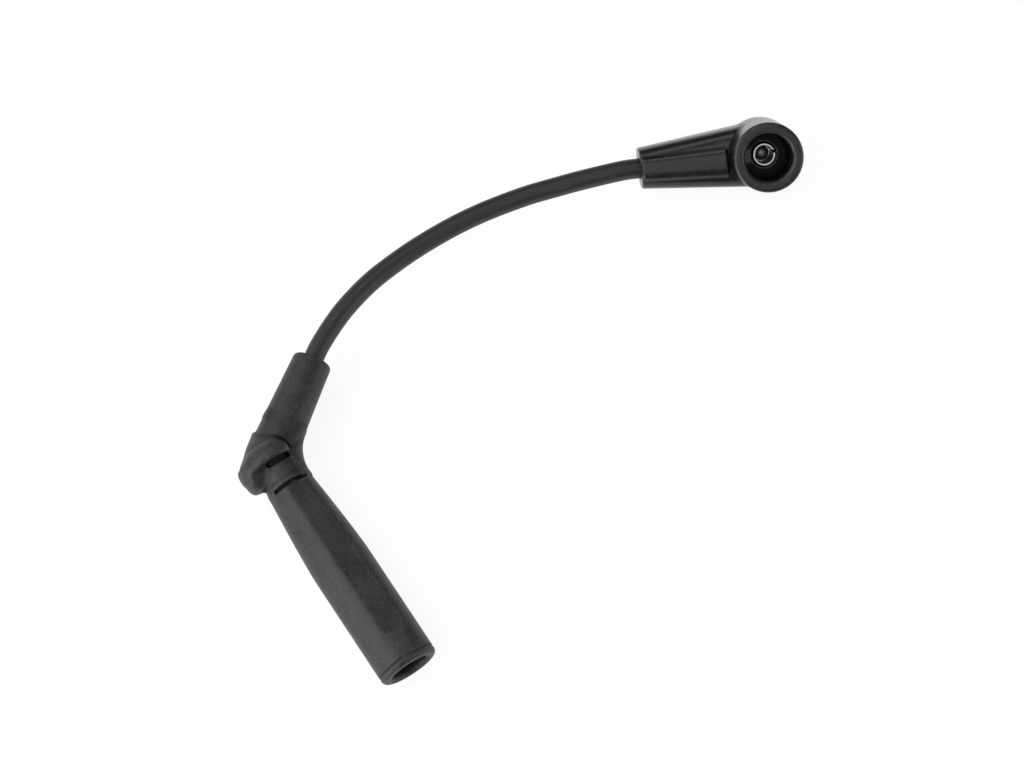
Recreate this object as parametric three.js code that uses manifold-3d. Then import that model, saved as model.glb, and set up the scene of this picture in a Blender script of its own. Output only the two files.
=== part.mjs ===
// A spark plug wire: a short ignition lead with a bent plug boot and a right-angle coil boot.
// Millimetres, +Z up. The lead lies on the plane z = 0, with its plug boot along X.
import * as THREE from 'three';
import { mergeVertices } from 'three/addons/utils/BufferGeometryUtils.js';
import Module from 'manifold-3d';

const wasm = await Module();
wasm.setup();

// Clearances
const gap = 0.3; // between two pieces that touch on the real lead
const overlap = 0.6; // how far parts of one moulding run into each other before they are joined

// The cable
const cableDiameter = 7;
const coreDiameter = 1.6;
const coreStub = 2.2; // bare core that stands out of each cut end
const coreHoleDepth = 5;
const cableSides = 12;
const cableSteps = 14;

// Plug boot: the barrel, along +X from the bend
const barrelMouthX = 88.5;
const barrelShoulderX = 14;
const barrelShoulderRadius = 8.4;
const barrelRadius = 10.6;
const barrelTaperEndX = 45;
const barrelTaperMidShare = 0.32; // of the whole rise, reached half way to the taper's end
const shoulderRound = 0.7;
const rimRound = 1.8;
const rimGrooveFromMouth = 2.9;
const rimGrooveWidth = 0.9;
const rimGrooveDepth = 0.35;

// The moulded flats on the barrel, one above and one below the plane of the bend
const flatEdgeDeg = 105; // the two edges of a flat, measured from +Y towards +Z
const flatFarEdgeDeg = 57;
const flatEndX = 78.3;
const flatFade = 4;

// The collar and the neck between it and the barrel
const collarUndersideX = 4;
const collarThickness = 5.4;
const collarRadius = 12.3;
const collarOffset = -0.4; // the collar is struck a little towards the outside of the bend
const collarRound = 1.9;
const collarLipRound = 1.2;
const collarConeRise = 3.2;
const collarConeRadius = 7.2;
const collarFullDeg = 72; // the collar is full height beyond this angle from the inside of the bend
const collarGoneDeg = 24; // and gone within this one
const recessDepth = 1.0; // the recess under the collar's lip
const recessIntoNeck = 1.2;
const recessInnerRadius = 6.8;
const recessOuterRadius = 9.6;
const neckRadius = 7.95;
const neckFlare = 1.0;
const neckLipRadius = 8.35;
const neckLipWidth = 1.1;
const neckGrooveRadius = 7.5;
const neckGrooveWidth = 1.1;
const neckGrooveHalfSpan = 6.4; // the lip and the groove are moulded above and below, not at the sides

// The thumb tab, where the collar runs on towards the mouth on the outside of the bend
const tabEndX = 9.4;
const tabEndRound = 4;
const tabPillarX = 1.45; // the tab's outline is a round pillar across the collar
const tabPillarRadius = 7.95;

// The web that rounds the inside of the bend
const webTangent = 12.5; // from the bend to where the web runs out, on both sides
const webBarrelRadius = 8.65;
const webArmRadius = 7.85;
const webFlatness = 0.86; // height of the web's section over its width
const webPastTangent = 2.4;
const webSink = 0.8; // how far the web's end sinks into the barrel

// The arm, from the bend to the cable's mouth
const bendDeg = 124.8;
const armLength = 37.4;
const armRootRadius = 8.2;
const armEndRadius = 6.8;
const armEndRound = 1.3;

// The hollow inside the plug boot
const plugBoreRadius = 6.95;
const plugBoreChamfer = 0.9;
const sealLandDepth = 9;
const sealRibHeight = 0.35;
const sealRibWidth = 1.6;
const chamberRadius = 7.3;
const chamberDepth = 49;
const terminalChamberRadius = 5.2;
const chamberCone = 4;

// The plug terminal, a snap socket with a bent strap and a crimp
const sheet = 0.5;
const socketBoreRadius = 3.3;
const socketLength = 17;
const socketMouthX = 34.5;
const socketFlare = 0.45;
const socketSlit = 1.2;
const clipSlotWidth = 1.6;
const clipFromMouth = 5;
const clipWireDiameter = 0.8;
const clipGapDeg = 70;
const strapWidth = 4.2;
const crimpLength = 10;
const crimpSlit = 1.0;
const cableSeat = 1.8; // from the mouth of a crimp back to the cut end of the cable
const plugCrimpStart = 8.5; // from the bend, along the arm
const strapStraight = 4; // straight run of a strap beside its socket
const strapBend = 6; // from the bend to where the strap starts and ends its curve
const strapLead = 2; // straight run of a strap before its crimp
const crimpBackRoom = 1.2; // hollow left beyond a crimp

// Coil boot: origin where the cable's axis meets the axis of the cup, cup mouth along +Z
const cupMouthZ = 20;
const cupBottomZ = -9.4;
const cupRadius = 12.15;
const cupRimRound = 1.1;
const cupBottomRound = 2.6;
const cupBoreRadius = 8.35;
const cupBoreChamfer = 0.8;
const cupBoreDepth = 14.5;
const cupRibFromMouth = 4.2;
const cupRibHeight = 0.3;
const cupRibWidth = 1.6;
const coilArmLength = 43.2;
const coilArmRootHalfWidth = 11.5;
const coilArmRootHalfDepth = 8.9;
const coilArmEndHalfWidth = 7.1;
const coilArmEndHalfDepth = 7;
const coilArmRootSquareness = 4.2;
const coilArmEndSquareness = 2.9;
const coilArmEndRound = 0.6;
const ridgeStartX = 13.2;
const ridgeHalfWidthRoot = 5.8;
const ridgeHalfWidthEnd = 4.4;
const ridgeOffsetRoot = 1.0; // the ridge stands off the arm's centre line near the cup
const ridgeHeight = 1.1;
const ridgeEndStep = 0.5;
const ridgeSquareness = 3.2;
const ridgeEdge = 0.6;

// The coil terminal, a cup of rolled sheet with a crimp, and the contact riveted into it
const sleeveRadius = 3.95;
const sleeveSheet = 0.8;
const sleeveTopZ = 7;
const sleeveSlit = 0.9;
const sleeveSlitDeg = 193;
const sleeveFloorZ = -3.8;
const coilCrimpStart = 9.5; // from the cup's axis, along the arm
const contactRadius = 2.75;
const contactHeight = 2.3;
const contactEdge = 0.4; // the upright edge below the contact's dome
const contactShankRadius = 0.8;

// How the lead lies on the plane, as photographed
const coilBootX = -1.21;
const coilBootY = 202.97;
const coilArmHeadingDeg = -115.17;
const coilRollDeg = -27.2; // about the arm, so that the cup leans away from the barrel

// The cable's route between the two boots, points chosen along the photographed curve
const cableRoute = [
  [-30.1, 46.6, 12.5],
  [-33.2, 55.3, 12.1],
  [-35.4, 64.2, 11.7],
  [-36.6, 73.2, 11.4],
  [-37.3, 82.2, 11.1],
  [-37.4, 91.3, 11.0],
  [-37.0, 100.4, 11.0],
  [-36.0, 109.5, 11.1],
  [-34.4, 118.4, 11.3],
  [-32.4, 127.1, 11.6],
  [-29.8, 135.7, 12.0],
  [-27.1, 144.3, 12.4],
];
const cableLead = 5; // straight length of the cable as it leaves a boot

// Facets
const roundSides = 48;
const armSides = 40;
const smallSides = 28;

// Settled sizes that several pieces share
const cableRadius = cableDiameter / 2;
const cableBoreRadius = cableRadius + gap;
const crimpInnerRadius = cableRadius + gap;
const crimpOuterRadius = crimpInnerRadius + sheet;
const crimpChamberRadius = crimpOuterRadius + gap;
const socketOuterRadius = socketBoreRadius + sheet;
const plugCableStart = plugCrimpStart + cableSeat;
const coilCableStart = coilCrimpStart + cableSeat;
const bend = THREE.MathUtils.degToRad(bendDeg);
const armDirection = new THREE.Vector3(Math.cos(bend), Math.sin(bend), 0);
const outOfBend = new THREE.Vector3(-armDirection.y, armDirection.x, 0);

const AXIS_X = new THREE.Vector3(1, 0, 0);
const AXIS_Y = new THREE.Vector3(0, 1, 0);
const AXIS_Z = new THREE.Vector3(0, 0, 1);

// Turns a closed geometry into a solid that can be joined and cut
function solid(geometry) {
  const bare = geometry.clone();
  bare.deleteAttribute('normal');
  bare.deleteAttribute('uv');
  const merged = mergeVertices(bare, 1e-4);
  const position = merged.getAttribute('position');
  const triangles = [];
  let volume = 0;
  const a = new THREE.Vector3();
  const b = new THREE.Vector3();
  const c = new THREE.Vector3();
  for (let i = 0; i < merged.index.count; i += 3) {
    const corners = [0, 1, 2].map((k) => merged.index.getX(i + k));
    if (new Set(corners).size < 3) continue;
    a.fromBufferAttribute(position, corners[0]);
    b.fromBufferAttribute(position, corners[1]);
    c.fromBufferAttribute(position, corners[2]);
    volume += a.dot(b.cross(c));
    triangles.push(corners);
  }
  if (volume < 0) triangles.forEach((corners) => corners.reverse());
  return new wasm.Manifold(new wasm.Mesh({
    numProp: 3,
    vertProperties: Float32Array.from(position.array),
    triVerts: Uint32Array.from(triangles.flat()),
  }));
}

// Turns a solid back into a named mesh with its own material
function part(name, body, look) {
  const result = body.getMesh();
  const geometry = new THREE.BufferGeometry();
  geometry.setAttribute('position', new THREE.BufferAttribute(result.vertProperties, 3));
  geometry.setIndex(new THREE.BufferAttribute(result.triVerts, 1));
  geometry.computeVertexNormals();
  const mesh = new THREE.Mesh(geometry, new THREE.MeshStandardMaterial(look));
  mesh.name = name;
  return mesh;
}

// A turn that carries +Z onto a direction
function turnTo(direction) {
  const turn = new THREE.Quaternion().setFromUnitVectors(AXIS_Z, direction);
  return new THREE.Matrix4().makeRotationFromQuaternion(turn);
}

// A solid of revolution. The profile holds [distance along the axis, radius] pairs.
function turned(profile, direction, sides) {
  const start = [profile[0][0], 0];
  const end = [profile.at(-1)[0], 0];
  const points = [start, ...profile, end].map(([along, radius]) => new THREE.Vector2(radius, along));
  const geometry = new THREE.LatheGeometry(points, sides);
  geometry.rotateX(Math.PI / 2);
  geometry.applyMatrix4(turnTo(direction));
  return solid(geometry);
}

// A solid skinned over rings of points that all have the same count
function lofted(rings) {
  const count = rings[0].length;
  const vertices = rings.flat().flatMap((point) => point.toArray());
  const index = [];
  for (let r = 0; r + 1 < rings.length; r += 1) {
    for (let k = 0; k < count; k += 1) {
      const next = (k + 1) % count;
      const low = r * count;
      const high = low + count;
      index.push(low + k, low + next, high + next);
      index.push(low + k, high + next, high + k);
    }
  }
  [0, rings.length - 1].forEach((r) => {
    const centre = new THREE.Vector3();
    rings[r].forEach((point) => centre.addScaledVector(point, 1 / count));
    const hub = vertices.length / 3;
    vertices.push(...centre.toArray());
    for (let k = 0; k < count; k += 1) {
      const next = (k + 1) % count;
      const rim = r * count;
      if (r === 0) index.push(hub, rim + next, rim + k);
      else index.push(hub, rim + k, rim + next);
    }
  });
  const geometry = new THREE.BufferGeometry();
  geometry.setAttribute('position', new THREE.Float32BufferAttribute(vertices, 3));
  geometry.setIndex(index);
  return solid(geometry);
}

// Points of a quarter-round edge, from its start to its end, around a centre
function quarter(centreAlong, centreRadius, size, fromDeg, toDeg, steps = 4) {
  return Array.from({ length: steps + 1 }, (_, i) => {
    const angle = THREE.MathUtils.degToRad(fromDeg + ((toDeg - fromDeg) * i) / steps);
    return [centreAlong + size * Math.cos(angle), centreRadius + size * Math.sin(angle)];
  });
}

// A block with its own frame, for slits and slots
function block(length, width, height, position) {
  const geometry = new THREE.BoxGeometry(length, width, height);
  geometry.translate(...position);
  return geometry;
}

// A strip or wire of constant section along a smooth path
function swept(shape, points, steps) {
  const path = new THREE.CatmullRomCurve3(points, false, 'centripetal');
  return new THREE.ExtrudeGeometry(shape, { steps, bevelEnabled: false, extrudePath: path });
}

function circleShape(radius, sides) {
  const shape = new THREE.Shape();
  for (let k = 0; k < sides; k += 1) {
    const angle = (2 * Math.PI * k) / sides;
    const method = k === 0 ? 'moveTo' : 'lineTo';
    shape[method](radius * Math.cos(angle), radius * Math.sin(angle));
  }
  shape.closePath();
  return shape;
}

// The barrel's outer radius along X, with its shoulder, taper, rim groove and rounded rim
function barrelProfile() {
  const grooveX = barrelMouthX - rimGrooveFromMouth;
  return [
    ...quarter(barrelShoulderX + shoulderRound, barrelShoulderRadius - shoulderRound, shoulderRound, 180, 90, 3),
    [barrelTaperEndX / 2, THREE.MathUtils.lerp(barrelShoulderRadius, barrelRadius, barrelTaperMidShare)],
    [barrelTaperEndX, barrelRadius],
    [flatEndX - flatFade, barrelRadius],
    [flatEndX - flatFade / 2, barrelRadius],
    [flatEndX, barrelRadius],
    [grooveX, barrelRadius],
    [grooveX + rimGrooveWidth / 2, barrelRadius - rimGrooveDepth],
    [grooveX + rimGrooveWidth, barrelRadius],
    ...quarter(barrelMouthX - rimRound, barrelRadius - rimRound, rimRound, 90, 0, 5),
  ];
}

// Angles round the barrel, with one at each edge of each flat
function barrelAngles() {
  const edges = [-flatEdgeDeg, -flatFarEdgeDeg, flatFarEdgeDeg, flatEdgeDeg, 360 - flatEdgeDeg];
  return edges.slice(0, -1).flatMap((edge, i) => {
    const span = edges[i + 1] - edge;
    const steps = Math.ceil((span * roundSides) / 360);
    return Array.from({ length: steps }, (_, k) => THREE.MathUtils.degToRad(edge + (span * k) / steps));
  });
}

// The barrel: round at its mouth, with a long flat moulded on each half
function barrel() {
  const angles = barrelAngles();
  const middle = THREE.MathUtils.degToRad((flatEdgeDeg + flatFarEdgeDeg) / 2);
  const halfSpan = THREE.MathUtils.degToRad((flatEdgeDeg - flatFarEdgeDeg) / 2);
  const profile = barrelProfile();
  const rings = profile.map(([x, radius]) => {
    const fade = THREE.MathUtils.smoothstep(x, flatEndX - flatFade, flatEndX);
    const apothem = THREE.MathUtils.lerp(radius * Math.cos(halfSpan), radius, fade);
    return angles.map((angle) => {
      const mirrored = Math.abs(THREE.MathUtils.euclideanModulo(angle + Math.PI, 2 * Math.PI) - Math.PI);
      const reach = Math.abs(mirrored - middle) < halfSpan
        ? Math.min(radius, apothem / Math.cos(mirrored - middle))
        : radius;
      return new THREE.Vector3(x, reach * Math.cos(angle), reach * Math.sin(angle));
    });
  });
  return lofted(rings);
}

// The collar: a rim with a cone up to the arm, which dies away towards the inside of the bend
function collar() {
  const topX = collarUndersideX - collarThickness;
  const profile = [
    [topX - collarConeRise, collarConeRadius],
    ...quarter(topX + collarRound, collarRadius - collarRound, collarRound, 150, 90, 3),
    ...quarter(collarUndersideX - collarLipRound, collarRadius - collarLipRound, collarLipRound, 90, 0, 3),
  ];
  const rings = profile.map(([x, radius]) => Array.from({ length: roundSides }, (_, k) => {
    const angle = (2 * Math.PI * k) / roundSides;
    const fromInside = THREE.MathUtils.radToDeg(Math.min(angle, 2 * Math.PI - angle));
    const share = THREE.MathUtils.smoothstep(fromInside, collarGoneDeg, collarFullDeg);
    const reach = THREE.MathUtils.lerp(Math.min(radius, collarConeRadius), radius, share);
    return new THREE.Vector3(x, collarOffset + reach * Math.cos(angle), reach * Math.sin(angle));
  }));
  return lofted(rings);
}

// The neck, with a lip and a groove above and below, and plain sides
function neck() {
  const grooveX = barrelShoulderX - neckGrooveWidth;
  const lipX = grooveX - neckLipWidth;
  const grooved = turned([
    [0, neckRadius],
    [lipX - neckFlare, neckRadius],
    [lipX, neckLipRadius],
    [lipX + 0.6 * neckLipWidth, neckLipRadius],
    [grooveX, neckGrooveRadius],
    [barrelShoulderX + overlap, neckGrooveRadius],
  ], AXIS_X, roundSides);
  const plain = turned([
    [lipX - 2 * neckFlare, neckRadius],
    [grooveX, barrelShoulderRadius],
    [barrelShoulderX + shoulderRound, barrelShoulderRadius],
  ], AXIS_X, roundSides);
  const middle = solid(block(4 * barrelShoulderX, 2 * neckGrooveHalfSpan, 4 * neckRadius, [0, 0, 0]));
  return grooved.add(plain.subtract(middle));
}

// The recess under the collar's lip
function collarRecess() {
  const ring = (radius, past) => turned([
    [collarUndersideX - recessDepth - past, radius],
    [collarUndersideX + recessIntoNeck + past, radius],
  ], AXIS_X, roundSides);
  return ring(recessOuterRadius, 0).subtract(ring(recessInnerRadius, overlap));
}

// The thumb tab: the collar's rim carried on towards the mouth, within a round outline
function thumbTab() {
  const rim = turned([
    [0, collarRadius],
    ...quarter(tabEndX - tabEndRound, collarRadius - tabEndRound, tabEndRound, 90, 0, 5),
  ], AXIS_X, roundSides).translate([0, collarOffset, 0]);
  const pillar = turned([
    [neckRadius / 2, tabPillarRadius],
    [2 * collarRadius, tabPillarRadius],
  ], AXIS_Y.clone().negate(), armSides).translate([tabPillarX, 0, 0]);
  return rim.intersect(pillar);
}

// The web: a bent oval bar, tangent to the barrel and to the arm, kept only on the inside of the bend
function bendWeb() {
  const pathRadius = webTangent * Math.tan(bend / 2);
  const sweep = Math.PI - bend;
  const past = webPastTangent / pathRadius;
  const steps = 9;
  const rings = Array.from({ length: steps + 1 }, (_, i) => {
    const angle = THREE.MathUtils.lerp(-past, sweep, i / steps);
    const inward = new THREE.Vector3(Math.sin(angle), Math.cos(angle), 0);
    const centre = new THREE.Vector3(webTangent, pathRadius, 0).addScaledVector(inward, -pathRadius);
    const sink = webSink * Math.min(angle / past, 0) ** 2;
    const radius = THREE.MathUtils.lerp(webBarrelRadius, webArmRadius, Math.max(angle, 0) / sweep) - sink;
    return Array.from({ length: armSides }, (__, k) => {
      const turn = (2 * Math.PI * k) / armSides;
      return centre.clone()
        .addScaledVector(inward, radius * Math.cos(turn))
        .addScaledVector(AXIS_Z, webFlatness * radius * Math.sin(turn));
    });
  });
  const reach = 3 * webTangent;
  const inside = solid(block(reach * 2, reach, reach, [0, (neckRadius + reach) / 2, 0]));
  return lofted(rings).intersect(inside);
}

// The arm, with the ball that rounds the outside of the bend
function plugArm() {
  const tube = turned([
    [0, armRootRadius],
    [armLength * 0.35, THREE.MathUtils.lerp(armRootRadius, armEndRadius, 0.35)],
    ...quarter(armLength - armEndRound, armEndRadius - armEndRound, armEndRound, 90, 0, 4),
  ], armDirection, armSides);
  const ball = new THREE.SphereGeometry(armRootRadius, armSides, armSides / 2);
  return tube.add(solid(ball));
}

// The hollow of the plug boot, from its mouth to the cable's mouth
function plugHollow() {
  const mouth = barrelMouthX;
  const landX = mouth - sealLandDepth;
  const chamberEndX = mouth - chamberDepth;
  const bore = turned([
    [-terminalChamberRadius * 0.2, terminalChamberRadius],
    [chamberEndX - chamberCone, terminalChamberRadius],
    [chamberEndX, chamberRadius],
    [landX - sealRibWidth, chamberRadius],
    [landX - sealRibWidth * 0.6, plugBoreRadius - sealRibHeight],
    [landX - sealRibWidth * 0.3, plugBoreRadius - sealRibHeight],
    [landX, plugBoreRadius],
    [mouth - plugBoreChamfer, plugBoreRadius],
    [mouth, plugBoreRadius + plugBoreChamfer],
    [mouth + overlap, plugBoreRadius + plugBoreChamfer],
  ], AXIS_X, armSides);
  const crimpRoomEnd = plugCrimpStart + crimpLength + crimpBackRoom;
  const cable = turned([
    [0, crimpChamberRadius],
    [crimpRoomEnd, crimpChamberRadius],
    [crimpRoomEnd + gap, cableBoreRadius],
    [armLength + overlap, cableBoreRadius],
  ], armDirection, smallSides);
  const knee = new THREE.SphereGeometry(terminalChamberRadius, armSides, armSides / 2);
  return bore.add(cable).add(solid(knee));
}

function plugBoot() {
  const head = collar().add(neck()).subtract(collarRecess()).add(bendWeb()).add(thumbTab());
  const outside = barrel().add(head).add(plugArm());
  return outside.subtract(plugHollow());
}

// A tube of rolled sheet along a direction, split by one slit on the side that slitToward points to
function rolledTube(innerRadius, from, to, direction, slit, slitToward, flare = 0, wall = sheet) {
  const outer = innerRadius + wall;
  const flareRun = flare * 2;
  const shell = turned([[from, outer], [to - flareRun, outer], [to, outer + flare]], direction, smallSides);
  const hollow = turned([
    [from - overlap, innerRadius],
    [to - flareRun, innerRadius],
    [to + overlap, innerRadius + flare + overlap * 0.5],
  ], direction, smallSides);
  const cut = block(outer * 2, slit, to - from + 4 * overlap, [outer, 0, (from + to) / 2]);
  const across = new THREE.Vector3().crossVectors(direction, slitToward);
  cut.applyMatrix4(new THREE.Matrix4().makeBasis(slitToward, across, direction));
  return shell.subtract(hollow).subtract(solid(cut));
}

// How far from a tube's axis a flat strap lies, so that its edges are flush with the tube's outside
function strapSeat(outerRadius) {
  return Math.sqrt(outerRadius ** 2 - (strapWidth / 2) ** 2) - sheet / 2;
}

// A flat strip of sheet bent along a path, with its width along one direction
function strap(points, widthDirection) {
  const path = new THREE.CatmullRomCurve3(points, false, 'centripetal');
  const steps = 18;
  const rings = Array.from({ length: steps + 1 }, (_, i) => {
    const centre = path.getPointAt(i / steps);
    const through = path.getTangentAt(i / steps).cross(widthDirection).normalize();
    return [[1, 1], [-1, 1], [-1, -1], [1, -1]].map(([wide, thick]) => centre.clone()
      .addScaledVector(widthDirection, (wide * strapWidth) / 2)
      .addScaledVector(through, (thick * sheet) / 2));
  });
  return lofted(rings);
}

// The plug terminal: snap socket, strap round the outside of the bend, and crimp
function plugTerminal() {
  const socketStart = socketMouthX - socketLength;
  const socket = rolledTube(socketBoreRadius, socketStart, socketMouthX, AXIS_X,
    socketSlit, AXIS_Y, socketFlare);
  const slotX = socketMouthX - clipFromMouth;
  const slotReach = socketOuterRadius * 0.35;
  const slots = [1, -1].map((side) => solid(block(
    clipSlotWidth, slotReach * 2, socketOuterRadius, [slotX, 0, side * socketOuterRadius])));
  const crimp = rolledTube(crimpInnerRadius, plugCrimpStart, plugCrimpStart + crimpLength,
    armDirection, crimpSlit, outOfBend.clone().negate());
  const strapAtCrimp = strapSeat(crimpOuterRadius);
  const strapAtSocket = strapSeat(socketOuterRadius);
  const crimpPoint = (along) => armDirection.clone().multiplyScalar(along)
    .addScaledVector(outOfBend, strapAtCrimp);
  const strapPath = [
    new THREE.Vector3(socketStart + overlap * 2, -strapAtSocket, 0),
    new THREE.Vector3(socketStart - strapStraight, -strapAtSocket, 0),
    new THREE.Vector3(strapBend, -strapAtSocket, 0),
    crimpPoint(plugCrimpStart - strapBend),
    crimpPoint(plugCrimpStart - strapLead),
    crimpPoint(plugCrimpStart + overlap * 1.5),
  ];
  const bent = strap(strapPath, AXIS_Z);
  return socket.subtract(slots[0]).subtract(slots[1]).add(bent).add(crimp);
}

// The wire clip that grips the plug's stud through the slots of the socket
function terminalClip() {
  const ringRadius = socketOuterRadius + gap + clipWireDiameter / 2;
  const slotX = socketMouthX - clipFromMouth;
  const open = THREE.MathUtils.degToRad(clipGapDeg / 2);
  const count = 22;
  const points = Array.from({ length: count }, (_, i) => {
    const angle = Math.PI / 2 + open + ((2 * Math.PI - 2 * open) * i) / (count - 1);
    return new THREE.Vector3(slotX, ringRadius * Math.cos(angle), ringRadius * Math.sin(angle));
  });
  return solid(swept(circleShape(clipWireDiameter / 2, 8), points, 44));
}

// A cut end of the cable inside a boot, with a blind hole for its core
function cableEnd(from, to, direction) {
  const body = turned([[from, cableRadius], [to, cableRadius]], direction, smallSides);
  const hole = turned([
    [from - overlap, coreDiameter / 2 + gap],
    [from + coreHoleDepth, coreDiameter / 2 + gap],
  ], direction, smallSides / 2);
  return body.subtract(hole);
}

// The bare core: out of the cable's end, then bent over onto the terminal's strap
function coreEnd(from, direction, towards) {
  const along = (distance, aside) => direction.clone().multiplyScalar(distance).addScaledVector(towards, aside);
  const reach = strapSeat(crimpOuterRadius) - sheet / 2 - gap;
  const points = [
    along(from + coreHoleDepth - gap, 0),
    along(from + coreHoleDepth / 2, 0),
    along(from, 0),
    along(from - coreStub * 0.6, coreDiameter * 0.35),
    along(from - coreStub, coreDiameter),
    along(from - coreStub, reach),
  ];
  return solid(swept(circleShape(coreDiameter / 2, 10), points, 16));
}

// The cup of the coil boot
function coilCup() {
  return turned([
    ...quarter(cupBottomZ + cupBottomRound, cupRadius - cupBottomRound, cupBottomRound, 180, 90, 5),
    ...quarter(cupMouthZ - cupRimRound, cupRadius - cupRimRound, cupRimRound, 90, 0, 4),
  ], AXIS_Z, roundSides);
}

// One ring of a rounded-square section across the coil arm
function armRing(x, halfWidth, halfDepth, squareness, offsetY = 0, offsetZ = 0) {
  return Array.from({ length: armSides }, (_, k) => {
    const angle = (2 * Math.PI * k) / armSides;
    const bulge = (value) => Math.sign(value) * Math.abs(value) ** (2 / squareness);
    return new THREE.Vector3(
      x,
      offsetY + halfWidth * bulge(Math.cos(angle)),
      offsetZ + halfDepth * bulge(Math.sin(angle)),
    );
  });
}

// Half depth of the coil arm at a distance from the cup's axis
function coilArmHalfDepth(x) {
  return THREE.MathUtils.lerp(coilArmRootHalfDepth, coilArmEndHalfDepth, x / coilArmLength);
}

// The tapered arm of the coil boot
function coilArm() {
  const ring = (x, inset) => {
    const share = x / coilArmLength;
    const halfWidth = THREE.MathUtils.lerp(coilArmRootHalfWidth, coilArmEndHalfWidth, share);
    const squareness = THREE.MathUtils.lerp(coilArmRootSquareness, coilArmEndSquareness, share);
    return armRing(x, halfWidth - inset, coilArmHalfDepth(x) - inset, squareness);
  };
  const end = coilArmLength - coilArmEndRound;
  const rounding = quarter(0, 0, coilArmEndRound, 90, 0, 4);
  return lofted([
    ring(0, 0),
    ring(coilArmLength * 0.33, 0),
    ring(coilArmLength * 0.66, 0),
    ...rounding.map(([along, out]) => ring(end + along, coilArmEndRound - out)),
  ]);
}

// The low ridge that runs along the arm's mouth side
function coilRidge() {
  const ring = (x, shrink) => {
    const share = (x - ridgeStartX) / (coilArmLength - ridgeStartX);
    const halfWidth = THREE.MathUtils.lerp(ridgeHalfWidthRoot, ridgeHalfWidthEnd, share);
    const offset = THREE.MathUtils.lerp(ridgeOffsetRoot, 0, share);
    const top = coilArmHalfDepth(x) + ridgeHeight - shrink;
    const halfDepth = top / 2;
    return armRing(x, halfWidth - shrink, halfDepth, ridgeSquareness, offset, halfDepth);
  };
  const end = coilArmLength - ridgeEndStep;
  return lofted([
    ring(ridgeStartX, ridgeEdge),
    ring(ridgeStartX + 0.4 * ridgeEdge, 0.3 * ridgeEdge),
    ring(ridgeStartX + ridgeEdge, 0),
    ring(end - ridgeEdge, 0),
    ring(end - 0.4 * ridgeEdge, 0.3 * ridgeEdge),
    ring(end, ridgeEdge),
  ]);
}

// The hollow of the coil boot: cup bore, terminal bore, crimp room and cable bore
function coilHollow() {
  const floorZ = cupMouthZ - cupBoreDepth;
  const ribZ = cupMouthZ - cupRibFromMouth;
  const bore = turned([
    [floorZ, cupBoreRadius],
    [ribZ - cupRibWidth, cupBoreRadius],
    [ribZ - cupRibWidth * 0.6, cupBoreRadius - cupRibHeight],
    [ribZ - cupRibWidth * 0.4, cupBoreRadius - cupRibHeight],
    [ribZ, cupBoreRadius],
    [cupMouthZ - cupBoreChamfer, cupBoreRadius],
    [cupMouthZ, cupBoreRadius + cupBoreChamfer],
    [cupMouthZ + overlap, cupBoreRadius + cupBoreChamfer],
  ], AXIS_Z, roundSides);
  const terminalBore = turned([
    [sleeveFloorZ - gap, sleeveRadius + gap],
    [floorZ + overlap, sleeveRadius + gap],
  ], AXIS_Z, armSides);
  const crimpRoomEnd = coilCrimpStart + crimpLength + crimpBackRoom;
  const cable = turned([
    [0, crimpChamberRadius],
    [crimpRoomEnd, crimpChamberRadius],
    [crimpRoomEnd + gap, cableBoreRadius],
    [coilArmLength + overlap, cableBoreRadius],
  ], AXIS_X, smallSides);
  return bore.add(terminalBore).add(cable);
}

function coilBoot() {
  return coilCup().add(coilArm()).add(coilRidge()).subtract(coilHollow());
}

// The coil terminal: an upright sleeve with a floor, a strap along the arm, and a crimp
function coilTerminal() {
  const slitTurn = THREE.MathUtils.degToRad(sleeveSlitDeg);
  const slitToward = new THREE.Vector3(Math.cos(slitTurn), Math.sin(slitTurn), 0);
  const sleeve = rolledTube(sleeveRadius - sleeveSheet, sleeveFloorZ, sleeveTopZ, AXIS_Z,
    sleeveSlit, slitToward, 0, sleeveSheet);
  const floor = turned([
    [sleeveFloorZ, sleeveRadius - sleeveSheet / 2],
    [sleeveFloorZ + sheet, sleeveRadius - sleeveSheet / 2],
  ], AXIS_Z, smallSides);
  const rivetHole = turned([
    [sleeveFloorZ - overlap, contactShankRadius + gap],
    [sleeveFloorZ + sheet + overlap, contactShankRadius + gap],
  ], AXIS_Z, smallSides / 2);
  const crimp = rolledTube(crimpInnerRadius, coilCrimpStart, coilCrimpStart + crimpLength,
    AXIS_X, crimpSlit, AXIS_Z);
  const strapAtCrimp = -strapSeat(crimpOuterRadius);
  const strapPath = [
    new THREE.Vector3(sleeveRadius - 3 * sheet, 0, sleeveFloorZ + sheet / 2),
    new THREE.Vector3(sleeveRadius + sheet, 0, sleeveFloorZ + sheet / 2),
    new THREE.Vector3(coilCrimpStart - strapLead, 0, strapAtCrimp),
    new THREE.Vector3(coilCrimpStart + overlap * 1.5, 0, strapAtCrimp),
  ];
  const bent = strap(strapPath, AXIS_Y);
  return sleeve.add(floor).subtract(rivetHole).add(bent).add(crimp);
}

// The contact: a domed rivet in the floor of the sleeve
function coilContact() {
  const seat = sleeveFloorZ + sheet + gap;
  const dome = quarter(0, 0, 1, 90, 0, 7).map(([along, out]) => [
    seat + contactEdge + (contactHeight - contactEdge) * along,
    contactRadius * out,
  ]);
  return turned([
    [sleeveFloorZ, contactShankRadius],
    [seat, contactShankRadius],
    [seat, contactRadius],
    ...dome,
  ], AXIS_Z, smallSides);
}

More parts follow.
